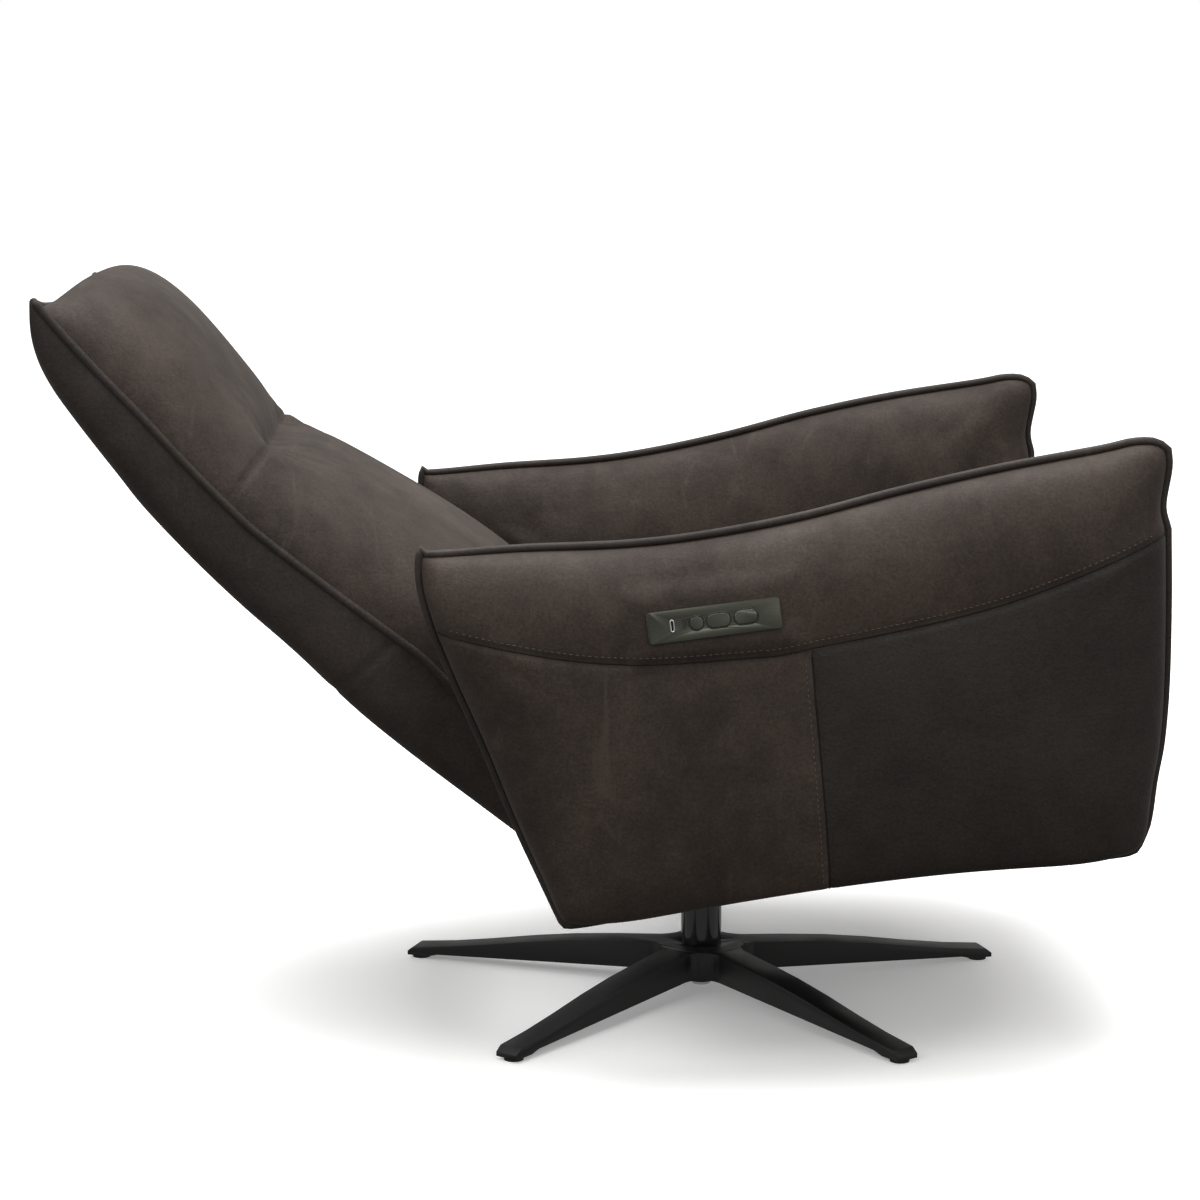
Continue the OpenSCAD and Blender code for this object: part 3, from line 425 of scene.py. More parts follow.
BROWN_DARK, BROWN_LIGHT = (0.0275, 0.0190, 0.0147), (0.0525, 0.0378, 0.0292)
hide_brown = leather("brown_leather", BROWN_DARK, BROWN_LIGHT, nap=0.05)
hide_smooth = leather("smooth_dark_leather", (0.0172, 0.0137, 0.0108), (0.027, 0.0218, 0.0172),
                      rough=(0.5, 0.6), nap=0.04, pebble=0.6, scuffs=0.08)
hide_shade = leather("deep_brown_leather", (0.0215, 0.0163, 0.0130), (0.040, 0.0305, 0.0245), nap=0.04)
hide_piping = leather("piping_leather", (0.022, 0.0168, 0.0138), (0.040, 0.031, 0.0255),
                      rough=(0.45, 0.6), nap=0.06, pebble=0.2)
# Near-black leather for the fine cords in the arm seams: painted shade of the narrow seam grooves.
hide_seam_shade = leather("seam_shadow_leather", (0.006, 0.005, 0.0043), (0.011, 0.009, 0.0075), nap=0.0,
                    pebble=0.1, scuffs=0.0)
thread, tree, shader, coords = new_material("thread")
twist = node(tree, "ShaderNodeTexWave", Scale=900.0, Distortion=1.0)
tree.links.new(coords, twist.inputs["Vector"])
tree.links.new(colour_steps(tree, twist.outputs["Fac"], (0, (0.060, 0.049, 0.041, 1)),
                            (1, (0.105, 0.088, 0.075, 1))), shader.inputs["Base Color"])
shader.inputs["Roughness"].default_value = 0.6
print("leathers mixed")

# %% [markdown]
# ## Arm cushions
# Each arm is a pillow of two leather faces sewn together round a piped edge. The outer face has a
# long smiling seam with a band above it, and below it two panels that meet at an upright seam.
# A grid is laid so that its rows and columns run along those seams. Four-sided patches between
# the edge lines then give every column an even length, and a round swell gives the thickness.

# %% Outline and seam lines of an arm, in Y and Z, with the seat level
ARM_X = 325
ARM_MID = np.array([-100.0, 390.0])
HALF_ARM = 50           # the skin's half thickness before stuffing
FULL_HALF = 57.5        # and after it
EDGE_INSET = 2.5        # the two faces meet inside the outline, where the piping's middle is
SAG, SAG_REACH = 27, 18 # the leather hangs below its foot line, most of all this far up from it
FILL_ACROSS, FILL_UP = 105, 88  # how far from the edges the skin has filled out
COLS, SEAM_COL, LOW_ROWS, TOP_ROWS = 88, 43, 30, 14
arm_top = [(264, 577), (255, 571), (168, 566), (73, 558), (-4, 557), (-101, 563), (-199, 575),
           (-298, 584), (-396, 589), (-430, 592), (-452, 589), (-463, 580)]
arm_rear_low = [(176, 195), (190, 239), (210, 304), (230, 380), (250, 447), (264, 499)]
arm_rear_high = [(264, 499), (269, 537), (268, 562), (264, 577)]
arm_front_low = [(-399, 194), (-410, 216), (-420, 257), (-431, 296), (-441, 354), (-450, 433),
                 (-456, 503)]
arm_front_high = [(-456, 503), (-453, 527), (-462, 562), (-463, 580)]
arm_foot = [(176, 195), (160, 189), (40, 194), (-87, 197), (-220, 195), (-374, 186), (-399, 194)]
smile = [(264, 499), (108, 453), (-34, 440), (-93, 441), (-276, 458), (-456, 503)]
upright_seam = [(-87, 197), (-90, 320), (-93, 441)]


def split_line(points, count, at, where):
    """An even line whose point number at lies where asked, and is even on both sides of it."""
    fine = smooth_line(points, 801)
    near = int(np.argmin(np.linalg.norm(fine - np.array(where, float), axis=1)))
    return np.vstack([smooth_line(fine[:near + 1:8] if near % 8 == 0 else
                                  np.vstack([fine[:near:8], fine[near]]), at + 1)[:-1],
                      smooth_line(fine[near::8], count - at)])


def patch(foot, top, left, right):
    """Points of a four-sided patch between its edge lines, as rows from foot to top."""
    u = np.linspace(0, 1, len(foot))[None, :, None]
    v = np.linspace(0, 1, len(left))[:, None, None]
    ruled = (1 - v) * foot[None] + v * top[None] + (1 - u) * left[:, None] + u * right[:, None]
    return ruled - ((1 - u) * (1 - v) * foot[0] + u * (1 - v) * foot[-1]
                    + (1 - u) * v * top[0] + u * v * top[-1])


def arm_points():
    foot = split_line(arm_foot, COLS + 1, SEAM_COL, upright_seam[0])
    mid = split_line(smile, COLS + 1, SEAM_COL, upright_seam[-1])
    top = smooth_line(arm_top, COLS + 1)
    seam = smooth_line(upright_seam, LOW_ROWS + 1)
    rear = patch(foot[:SEAM_COL + 1], mid[:SEAM_COL + 1],
                 smooth_line(arm_rear_low, LOW_ROWS + 1), seam)
    front = patch(foot[SEAM_COL:], mid[SEAM_COL:], seam, smooth_line(arm_front_low, LOW_ROWS + 1))
    band = patch(mid, top, smooth_line(arm_rear_high, TOP_ROWS + 1),
                 smooth_line(arm_front_high, TOP_ROWS + 1))
    low = np.concatenate([rear, front[:, 1:]], axis=1)
    return np.concatenate([low, band[1:]], axis=0)


arm_grid = arm_points()
pull = arm_grid - ARM_MID
arm_grid = arm_grid - EDGE_INSET * pull / np.linalg.norm(pull, axis=2, keepdims=True)
print("arm grid:", arm_grid.shape, "to", arm_grid.max((0, 1)).round())

# %% The skin of an arm
def rise(distance, reach):
    return np.sqrt(1 - (1 - np.minimum(distance / reach, 1)) ** 2.3)


def edge_distance(grid):
    along = np.linalg.norm(np.diff(grid, axis=1), axis=2)
    up = np.linalg.norm(np.diff(grid, axis=0), axis=2)
    a = np.concatenate([np.zeros((len(grid), 1)), along.cumsum(1)], 1)
    b = np.concatenate([np.zeros((1, grid.shape[1])), up.cumsum(0)], 0)
    return np.minimum(a, a[:, -1:] - a), np.minimum(b, b[-1:] - b)


def sheet_grid(rows, cols):
    """A flat grid of rows x cols faces; its point number is row * (cols + 1) + col."""
    let_go()
    bpy.ops.mesh.primitive_grid_add(x_subdivisions=cols, y_subdivisions=rows, size=2)
    return bpy.context.object


def arm_face(side, seams):
    face = sheet_grid(LOW_ROWS + TOP_ROWS, COLS)
    across, up = edge_distance(arm_grid)
    swell = HALF_ARM * rise(across, FILL_ACROSS) * rise(up, FILL_UP)
    x = ARM_X + side * swell
    points = np.concatenate([x[..., None], arm_grid], 2)
    steps_up = np.linalg.norm(np.diff(arm_grid, axis=0), axis=2)
    from_foot = np.r_[np.zeros((1, COLS + 1)), steps_up.cumsum(0)]
    points[..., 2] -= SAG * np.exp(-((from_foot - SAG_REACH) / SAG_REACH) ** 2) * swell / HALF_ARM
    points = points.reshape(-1, 3)
    reshape(face, points * MM)
    if seams:
        for number, polygon in enumerate(face.data.polygons):
            row, col = divmod(number, COLS)
            polygon.material_index = 1 if row < LOW_ROWS and col >= SEAM_COL else 0
    return face


outer = arm_face(1, True)
outer.data.materials.append(hide_brown)
outer.data.materials.append(hide_smooth)
inner = arm_face(-1, False)
inner.data.materials.append(hide_brown)
hold(inner, outer)
bpy.ops.object.join()
arm = bpy.context.object
weld(arm)
print("arm skin:", len(arm.data.vertices), "points")

# %% [markdown]
# The skin is held along its rim and its seams and stuffed, so the leather swells between them. One
# subdivision then rounds it, and the seams are pressed in as shallow valleys. The second arm is
# the mirror image of the first, with its faces turned outwards again, and the first, which is the
# left one, is then stuffed a little fuller along its top.

# %% Stuffed arms
def near_line(points, line):
    """Distance of each point from a line through many points."""
    found = np.full(len(points), 1e9)
    for start in range(0, len(line), 64):
        part = line[start:start + 64]
        found = np.minimum(found, np.sqrt(((points[:, None] - part[None]) ** 2).sum(2)).min(1))
    return found


smile_line = smooth_line(smile, 900)
upright_line = smooth_line(upright_seam, 300)
rim_line = np.vstack([arm_grid[0, :-1], arm_grid[:-1, -1], arm_grid[-1, :0:-1], arm_grid[:0:-1, 0]])
co = coordinates(arm) / MM
seams = np.vstack([smile_line, upright_line])
on_seam = (co[:, 0] > ARM_X + 5) & (near_line(co[:, 1:], seams) < 2.5)
held = (near_line(co[:, 1:], rim_line) < 1) | on_seam
stuff(arm, np.flatnonzero(held), 0.010)
co = coordinates(arm) / MM
half = np.abs(co[:, 0] - ARM_X)
widest = np.sort(half)[-40]
co[:, 0] = ARM_X + (co[:, 0] - ARM_X) * FULL_HALF / widest
reshape(arm, co * MM)
refine(arm)
co = coordinates(arm) / MM
dip = 2.6 * np.exp(-(near_line(co[:, 1:], seams) / 3.0) ** 2) * (co[:, 0] > ARM_X + 8)
co[:, 0] -= dip
reshape(arm, co * MM)


def mirrored(piece):
    """A copy of a piece on the other side of the chair, its faces outwards again."""
    hold(piece)
    bpy.ops.object.duplicate()
    twin = bpy.context.object
    co = coordinates(twin)
    co[:, 0] *= -1
    reshape(twin, co)
    flip(twin)
    return twin


def soft_step(value, start, end):
    """Rises from 0 to 1 between start and end, with a soft foot and a soft head."""
    t = np.clip((value - start) / (end - start), 0, 1)
    return t * t * (3 - 2 * t)


TOP_RISE, TOP_FORWARD = 13, 3   # how far the left arm's top stands higher, and further forward


def fuller_top(co):
    """The left arm is stuffed a little higher along its top than the right one."""
    raised = co.copy()
    along = np.exp(-((co[:, 1] + 170) / 330) ** 2)
    raised[:, 2] += TOP_RISE * soft_step(co[:, 2], 440, 570) * along
    raised[:, 1] -= TOP_FORWARD * soft_step(co[:, 2], 480, 570) * soft_step(-co[:, 1], 330, 440)
    return raised


arm_right = mirrored(arm)
arm_left = arm
reshape(arm_left, fuller_top(coordinates(arm_left) / MM) * MM)
print("both arms stuffed")

# %% [markdown]
# The keypad is let into the outer face of the right arm, where the leather is drawn flat behind
# its plate. Points beneath the plate move onto a plane just behind its face, and the leather
# eases back into its own swell around it.

# %% Leather drawn flat behind the keypad
LEAN = math.radians(6.161)
PAD_MID = np.array([-(ARM_X + 55.946), -4.0, 481.0])
PAD_OUT = np.array([-math.cos(LEAN), 0, math.sin(LEAN)])
PAD_UP = np.array([math.sin(LEAN), 0, math.cos(LEAN)])
PAD_AHEAD = np.array([0, -1.0, 0])
co = coordinates(arm_right) / MM
off = co - PAD_MID
outside = np.maximum(np.abs(off @ PAD_AHEAD) - 66, np.abs(off @ PAD_UP) - 19)
share = (1 - soft_step(outside, 0, 26)) * (off @ PAD_OUT > -40)
co -= (share * (off @ PAD_OUT + 2.6))[:, None] * PAD_OUT
reshape(arm_right, co * MM)
for piece, side in ((arm_right, "right"), (arm_left, "left")):
    piece.data.transform(SEAT)
    finish_piece(piece, "arm_pillow_" + side, "seat", "leather_brown")
    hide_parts("arm_cover_" + side, "arm_foam_" + side)

# %% [markdown]
# ## Piping
# The two faces of an arm are joined by a rolled edge: a cord wrapped in leather. It is drawn as a
# closed line of points round the arm, which becomes a curve with a round section and then a mesh.

# %% Rolled edge helper
def rolled_edge(points, radius, closed):
    let_go()
    if closed:
        bpy.ops.mesh.primitive_circle_add(vertices=len(points), radius=1)
    else:
        bpy.ops.mesh.primitive_grid_add(x_subdivisions=len(points) - 1, y_subdivisions=1, size=2)
        bpy.ops.object.mode_set(mode="EDIT")
        bpy.ops.mesh.select_all(action="SELECT")
        bpy.ops.transform.resize(value=(1, 0, 1))
        bpy.ops.mesh.remove_doubles(threshold=0.0001)
        bpy.ops.mesh.delete(type="ONLY_FACE")
        bpy.ops.object.mode_set(mode="OBJECT")
    line = bpy.context.object
    if not closed:
        order = np.argsort(coordinates(line)[:, 0])
        placed = np.empty((len(points), 3))
        placed[order] = points
        points = placed
    reshape(line, np.asarray(points) * MM)
    hold(line)
    bpy.ops.object.convert(target="CURVE")
    line.data.bevel_depth = radius * MM
    line.data.bevel_resolution = 3
    line.data.use_fill_caps = True
    line.data.resolution_u = 1
    bpy.ops.object.convert(target="MESH")
    weld(bpy.context.object, 0.00002)
    hold(bpy.context.object)
    bpy.ops.object.shade_smooth()
    return bpy.context.object


for side, name in ((-1, "right"), (1, "left")):
    edge = np.column_stack([np.full(len(rim_line), side * ARM_X), rim_line])
    piping = rolled_edge(fuller_top(edge) if side > 0 else edge, 4.3, True)
    piping.data.transform(SEAT)
    finish_piece(piping, "arm_piping_" + name, "seat", "leather_piping", hide_piping)
    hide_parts("arm_welt_" + name)

# %% [markdown]
# ## Seams and stitches
# In each seam of an arm a fine near-black cord is laid as painted shade of the narrow seam groove. A row
# of thread lies just above the smiling seam and beside the upright one. One stitch is modelled as a
# slim rounded bead. It is then repeated along the line, each time laid on the leather beneath it
# and turned along the seam.

# %% Stitch rows
let_go()
bpy.ops.mesh.primitive_uv_sphere_add(segments=6, ring_count=4, radius=1)
bead = bpy.context.object
bead_points = coordinates(bead)
bead_faces = [tuple(polygon.vertices) for polygon in bead.data.polygons]
bpy.data.objects.remove(bead)


def outer_face(piece, x, y, z):
    """Where a line that comes in from the side first meets an arm, and the normal there."""
    hit, place, normal, _ = piece.ray_cast(Vector((4 * x, y, z)), Vector((-x, 0, 0)))
    return (place, normal) if hit else None


def stitch_row(name, piece, lines, body, pitch=6.0, length=3.9, thick=1.1):
    """Stitches along lines of points in the frame, each laid on the surface of piece."""
    points, faces = [], []
    for line in lines:
        gone = np.r_[0, np.cumsum(np.linalg.norm(np.diff(line, axis=0), axis=1))]
        spots = np.arange(pitch * MM, gone[-1] - pitch * MM, pitch * MM)
        for at in spots:
            here = Vector([np.interp(at, gone, line[:, k]) for k in range(3)])
            ahead = Vector([np.interp(at + 0.002, gone, line[:, k]) for k in range(3)])
            found = outer_face(piece, *here)
            if not found:
                continue
            place, normal = found
            along = (ahead - here).normalized()
            across = normal.cross(along).normalized()
            turn = Matrix((along, across, normal)).transposed()
            size = np.array([length, thick, thick]) / 2 * MM
            body_points = (bead_points[:, [2, 0, 1]] * size) @ np.array(turn).T + np.array(place)
            faces += [tuple(i + len(points) for i in face) for face in bead_faces]
            points += [tuple(p) for p in body_points]
    mesh = bpy.data.meshes.new(name)
    mesh.from_pydata(points, [], faces)
    row = bpy.data.objects.new(name, mesh)
    bpy.context.scene.collection.objects.link(row)
    weld(row, 0.000001)
    bpy.ops.object.shade_smooth()
    return finish_piece(row, name, body, "leather_piping", thread)


def in_frame(place, x, line):
    """Points (x, y, z) in the frame from a line of (y, z) at one x."""
    local = np.column_stack([np.full(len(line), x), line, np.full(len(line), 1000.0)]) * MM
    return local @ np.array(place)[:3].T


def laid_on(piece, line):
    """Points of a line moved sideways onto the outer face of an arm, in millimetres."""
    found = [outer_face(piece, *point) for point in line]
    return np.array([spot[0] for spot in found if spot]) / MM


for side, piece, name in ((-1, arm_right, "right"), (1, arm_left, "left")):
    x = side * (ARM_X + 54)
    # Fine near-black cords along the seams, laid on the leather: painted shade of the narrow seam
    # grooves.
    seam_shade_cords = [rolled_edge(laid_on(piece, in_frame(SEAT, x, line)), 0.9, False)
             for line in (smile_line[6:-6:4], upright_line[4:-4:4])]
    hold(*seam_shade_cords)
    bpy.ops.object.join()
    finish_piece(bpy.context.object, "arm_seam_shade_" + name, "seat", "leather_piping", hide_seam_shade)
    above = smile_line[20:-20:6] + np.array([0, 6.5])
    beside = upright_line[8:-10:4] + np.array([6.5, 0])
    stitch_row("arm_stitches_" + name, piece,
               [in_frame(SEAT, x, above), in_frame(SEAT, x, beside)], "seat")

# %% [markdown]
# ## Back and headrest cushion
# One leather front runs from the foot of the back to the top of the headrest, over two foam
# cushions. A deep crease marks the headrest's fold in the middle, and runs out as a flat seam
# to the piping. Between the piped edges the cushion is full and round. It is laid out as a grid:
# every row goes from one piped edge over the crown to the other, and one row lies in the crease.

# %% Side view of the back's cushion, in Y and Z, with the back upright
BACK_HALF = 255
rim_low = [(3, 13), (2, 70), (-2, 114), (-8, 158), (-8, 190), (-7, 280), (-8, 361), (-12, 401)]
rim_high = [(-12, 401), (-20, 454), (-31, 516), (-40, 574), (-49, 625), (-57, 663)]
crown_low = [(3, 13), (-22, 11), (-54, 17), (-75, 28), (-94, 46), (-108, 76), (-116, 115),
             (-114, 181), (-108, 242), (-100, 302), (-93, 360), (-90, 401)]
crown_high = [(-90, 401), (-92, 438), (-98, 468), (-108, 509), (-117, 555), (-119, 590), (-115, 616),
              (-106, 634), (-93, 645), (-78, 651), (-64, 652), (-53, 650)]
BACK_LOW, BACK_HIGH, BACK_COLS = 46, 34, 56
CROWN_SHARE = 1.02


def joined_line(low, high, low_steps, high_steps):
    """Two smooth lines as one, with a set number of steps on each side of where they meet."""
    return np.vstack([smooth_line(low, low_steps + 1), smooth_line(high, high_steps + 1)[1:]])


def full_across(x):
    """How full the back is at a place across it, from 1 in the middle to 0 at the piping."""
    return np.sqrt(1 - np.minimum(np.abs(x) / BACK_HALF, 1) ** 2.7)


rim = joined_line(rim_low, rim_high, BACK_LOW, BACK_HIGH)
crown = joined_line(crown_low, crown_high, BACK_LOW, BACK_HIGH)
spread = BACK_HALF * np.sin(np.linspace(-1, 1, BACK_COLS + 1) * math.pi / 2)

# %% The cushion's front, its crease and its flat back
front = np.empty((len(rim), BACK_COLS + 1, 3))
front[..., 0] = spread
front[..., 1:] = rim[:, None] + CROWN_SHARE * (crown - rim)[:, None] * full_across(spread)[:, None]
up_crown = np.r_[0, np.linalg.norm(np.diff(crown, axis=0), axis=1).cumsum()]
past = (up_crown - up_crown[BACK_LOW])[:, None]
CREASE_DEPTH = 27
crease_reach = np.where(past > 0, 15, 22)
in_middle = 1 - soft_step(np.abs(spread), 120, 195)
front[..., 1] += CREASE_DEPTH * in_middle * np.exp(-(np.abs(past) / crease_reach) ** 1.1)
rear = patch(front[0], front[-1], front[:, 0], front[:, -1])
cushion = sheet_grid(BACK_LOW + BACK_HIGH, BACK_COLS)
reshape(cushion, front.reshape(-1, 3) * MM)
panel = sheet_grid(BACK_LOW + BACK_HIGH, BACK_COLS)
reshape(panel, rear.reshape(-1, 3) * MM)
hold(panel, cushion)
bpy.ops.object.join()
cushion = bpy.context.object
weld(cushion)
print("back cushion skin:", len(cushion.data.vertices), "points")

# %% Stuffed back, with its gathers
# Each gather: where it starts and ends in X and Z, its depth and its width
GATHERS = (((150, 396), (118, 300), 3.6, 7), ((166, 397), (160, 320), 3.2, 6),
           ((132, 395), (92, 345), 2.8, 6), ((182, 398), (196, 345), 2.0, 6),
           ((158, 405), (148, 452), 1.8, 6), ((60, 396), (44, 350), 1.6, 8),
           ((8, 396), (2, 352), 1.6, 8), ((98, 396), (70, 340), 1.8, 8))
rim_path = np.vstack([np.column_stack([np.full(len(rim), s * BACK_HALF), rim]) for s in (-1, 1)]
                     + [front[-1], front[0]])
crease = front[BACK_LOW]
co = coordinates(cushion) / MM
flat_back = np.isin(np.arange(len(co)), np.flatnonzero(near_line(co, rear.reshape(-1, 3)) < 0.5))
held = flat_back | (near_line(co, rim_path) < 1) | (near_line(co, crease) < 1)
stuff(cushion, np.flatnonzero(held), 0.006)
refine(cushion)
co = coordinates(cushion) / MM
in_front = co[:, 1] < np.interp(co[:, 2], rim[:, 1], rim[:, 0]) - 3
to_crease = near_line(co, np.array(smooth_line(crease, 400)))
co[:, 1] += 3.2 * np.exp(-(to_crease / 3.2) ** 2) * in_front
for side in (-1, 1):
    for start, end, depth, width in GATHERS:
        a, b = np.array([side * start[0], start[1]]), np.array([side * end[0], end[1]])
        t = np.clip(((co[:, [0, 2]] - a) @ (b - a)) / ((b - a) @ (b - a)), 0, 1)
        away = np.linalg.norm(co[:, [0, 2]] - a - t[:, None] * (b - a), axis=1)
        fold = depth * (1 - t) ** 1.3
        co[:, 1] += in_front * fold * (np.exp(-(away / (width * 0.6)) ** 2)
                                       - 0.55 * np.exp(-((away - width * 1.3) / (width * 0.7)) ** 2))
reshape(cushion, co * MM)
cushion.data.transform(BACK)
finish_piece(cushion, "back_cushion", None, "leather_brown", hide_brown)
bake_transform(cushion)
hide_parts("back_cover", "back_foam", "headrest_cover", "headrest_foam")

# %% [markdown]
# ## Rear shell
# Behind the piping the back has a firm upholstered shell: two flat sides, rounded rear corners and
# a smooth rear panel that thins out towards the top. A cross seam divides it above the arms, and
# the leather below is the darker one. Each row of the grid runs from piping to piping round the
# rear, and the sheet is then given the thickness of padded leather.

# %% Shell
shell_rim_low = [(8, -16), (4, 13), (2, 70), (-2, 114), (-8, 158), (-7, 188)]
shell_rim_high = [(-7, 188), (-7, 280), (-8, 361), (-12, 401), (-20, 454), (-31, 516), (-40, 574),
                  (-49, 625), (-57, 664)]
shell_rear_low = [(82, -60), (82, 20), (82, 98), (80, 163), (76, 205)]
shell_rear_high = [(76, 205), (69, 262), (64, 327), (56, 393), (44, 462), (34, 499), (24, 536),
                   (13, 574), (3, 605), (-7, 628), (-20, 647), (-36, 660), (-52, 666)]
SHELL_LOW, SHELL_HIGH, SHELL_HALF = 22, 46, 28
TOP_DIP = 14.5          # how far the top edge drops between its corners
SHELL_DEPTH = 84
side_edge = joined_line(shell_rim_low, shell_rim_high, SHELL_LOW, SHELL_HIGH)
rear_edge = joined_line(shell_rear_low, shell_rear_high, SHELL_LOW, SHELL_HIGH)
section = smooth_line([(254.5, 0), (257.5, 18), (258.5, 42), (256, 62), (246, 76), (226, 82.5),
                       (180, 83.5), (90, SHELL_DEPTH), (0, SHELL_DEPTH)], SHELL_HALF + 1)
section = np.vstack([section, section[-2::-1] * (-1, 1)])
share = section[:, 1] / SHELL_DEPTH
around = np.empty((len(side_edge), len(section), 3))
around[..., 0] = section[:, 0]
around[..., 1:] = side_edge[:, None] + (rear_edge - side_edge)[:, None] * share[None, :, None]
around[..., 2] -= TOP_DIP * full_across(section[:, 0]) * soft_step(around[..., 2], 580, 660)
shell = sheet_grid(SHELL_LOW + SHELL_HIGH, 2 * SHELL_HALF)
reshape(shell, around.reshape(-1, 3) * MM)
for number, polygon in enumerate(shell.data.polygons):
    polygon.material_index = 1 if number // (2 * SHELL_HALF) < SHELL_LOW else 0
refine(shell)
co = coordinates(shell) / MM
seam_z = 188 + (co[:, 1] + 7) * 17 / 74
on_side = np.abs(co[:, 0]) > 236
inward = np.column_stack([np.sign(co[:, 0]) * on_side, ~on_side, 0 * seam_z])
co -= 1.8 * np.exp(-((co[:, 2] - seam_z) / 3) ** 2)[:, None] * inward
reshape(shell, co * MM)
print("shell:", len(shell.data.vertices), "points")

# %% Shell thickness
hold(shell)
faces_out = shell.data.polygons[0].normal.x * shell.data.vertices[0].co.x > 0
wall = shell.modifiers.new("wall", "SOLIDIFY")
wall.thickness = 3 * MM
wall.offset = -1 if faces_out else 1
apply_all(shell)
shell.data.transform(BACK)
finish_piece(shell, "back_shell_leather", None, "leather_brown", hide_shade, hide_smooth)
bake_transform(shell)
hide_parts("back_shell", "headrest_shell")

# %% Piping of the back
edge = smooth_line(np.vstack([np.column_stack([np.full(len(rim), -BACK_HALF), rim])[4:],
                              np.column_stack([spread[1:-1], front[-1, 1:-1, 1:]]),
                              np.column_stack([np.full(len(rim), BACK_HALF), rim])[:3:-1]]), 420)
back_piping = rolled_edge(edge, 4.4, False)
back_piping.data.transform(BACK)
finish_piece(back_piping, "back_piping", None, "leather_piping", hide_piping)
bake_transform(back_piping)

# %% [markdown]
# ## Seat, legrest and flap cushions
# These are plain block cushions. A cube is added at the size of the cushion, its edges are
# rounded, and it is remeshed evenly so that the cloth can move. It is stuffed while its
# underside is held, and a boxing seam is pressed in round its edge.

# %% Block cushion helper
def block_cushion(name, low, high, round_by, voxel, limit, under, seam_at, axis):
    """A cushion between two corners in millimetres; under picks the held points."""
    low, high = np.array(low, float), np.array(high, float)
    let_go()
    bpy.ops.mesh.primitive_cube_add(size=1, location=tuple((low + high) / 2 * MM))
    piece = bpy.context.object
    piece.name = name
    bpy.ops.object.mode_set(mode="EDIT")
    bpy.ops.mesh.select_all(action="SELECT")
    bpy.ops.transform.resize(value=tuple((high - low) * MM))
    bpy.ops.mesh.bevel(offset=round_by * MM, segments=6, affect="EDGES")
    bpy.ops.object.mode_set(mode="OBJECT")
    bpy.ops.object.transform_apply(location=True)
    piece.data.remesh_voxel_size = voxel * MM
    bpy.ops.object.voxel_remesh()
    stuff(piece, np.flatnonzero(under(coordinates(piece) / MM)), limit)
    refine(piece)
    co = coordinates(piece) / MM
    normals = np.empty(len(co) * 3)
    piece.data.vertex_normals.foreach_get("vector", normals)
    co -= normals.reshape(-1, 3) * (2.4 * np.exp(-((co[:, axis] - seam_at) / 3.2) ** 2))[:, None]
    reshape(piece, co * MM)
    return piece


# %% Seat cushion
seat = block_cushion("seat_cushion", (-254, -419, 322), (254, 58, 446), 34, 7, 0.014,
                     lambda co: co[:, 2] < 330, 424, 2)
co = coordinates(seat) / MM
co[:, 0] = np.clip(co[:, 0], -264, 264)
ahead = np.clip((-co[:, 1] - 330) / 90, 0, 1) ** 2
co[:, 2] -= ahead * np.clip((co[:, 2] - 380) / 70, 0, 1) * 14
reshape(seat, co * MM)
seat.data.transform(SEAT)
finish_piece(seat, "seat_cushion", "seat", "leather_brown", hide_brown)
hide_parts("seat_cover", "seat_foam")

# %% Legrest and flap cushions
legrest = block_cushion("legrest_cushion", (-255, -424, 172), (255, -387, 278), 12, 6, 0.006,
                        lambda co: co[:, 1] > -392, -396, 1)
legrest.data.transform(SEAT)
finish_piece(legrest, "legrest_cushion", "legrest", "leather_brown", hide_brown)
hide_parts("legrest_pad")
flap = block_cushion("flap_cushion", (-255, -298, 174), (255, -182, 207), 11, 6, 0.005,
                     lambda co: co[:, 2] > 202, 198, 2)
flap.data.transform(SEAT)
finish_piece(flap, "flap_cushion", "flap", "leather_brown", hide_brown)
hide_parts("flap_pad")

# %% [markdown]
# ## Hard finishes
# The star is cast metal with a fine black powder coat, the column a gloss black tube. Under the
# seat are black painted steel, zinc-plated pins, a bronze bush, ply boards, webbing and moulded
# plastic. Each finish has its own grain, and each measured sub-part takes the one it would have.

# %% Metal and plastic recipe
def hard_finish(name, dark, light, rough, metal=0.0, grain=300, grain_depth=0.0002, grain_strength=0.2,
                stretch=None, coat=0.0, cloud=14):
    material, tree, shader, coords = new_material(name)
    drift = noise(tree, coords, cloud, 4, 0.6)
    fine = noise(tree, coords, grain, 3, 0.6, stretch)
    tone = colour_steps(tree, mixed(tree, "MIX", 0.4, drift, fine),
                        (0.3, (*dark, 1)), (0.7, (*light, 1)))
    tree.links.new(tone, shader.inputs["Base Color"])
    tree.links.new(colour_steps(tree, drift, (0.3, grey(rough[0])), (0.7, grey(rough[1]))),
                   shader.inputs["Roughness"])
    bumps(tree, shader, (fine, grain_strength, grain_depth))
    shader.inputs["Metallic"].default_value = metal
    shader.inputs["Coat Weight"].default_value = coat
    shader.inputs["Coat Roughness"].default_value = 0.06
    return material


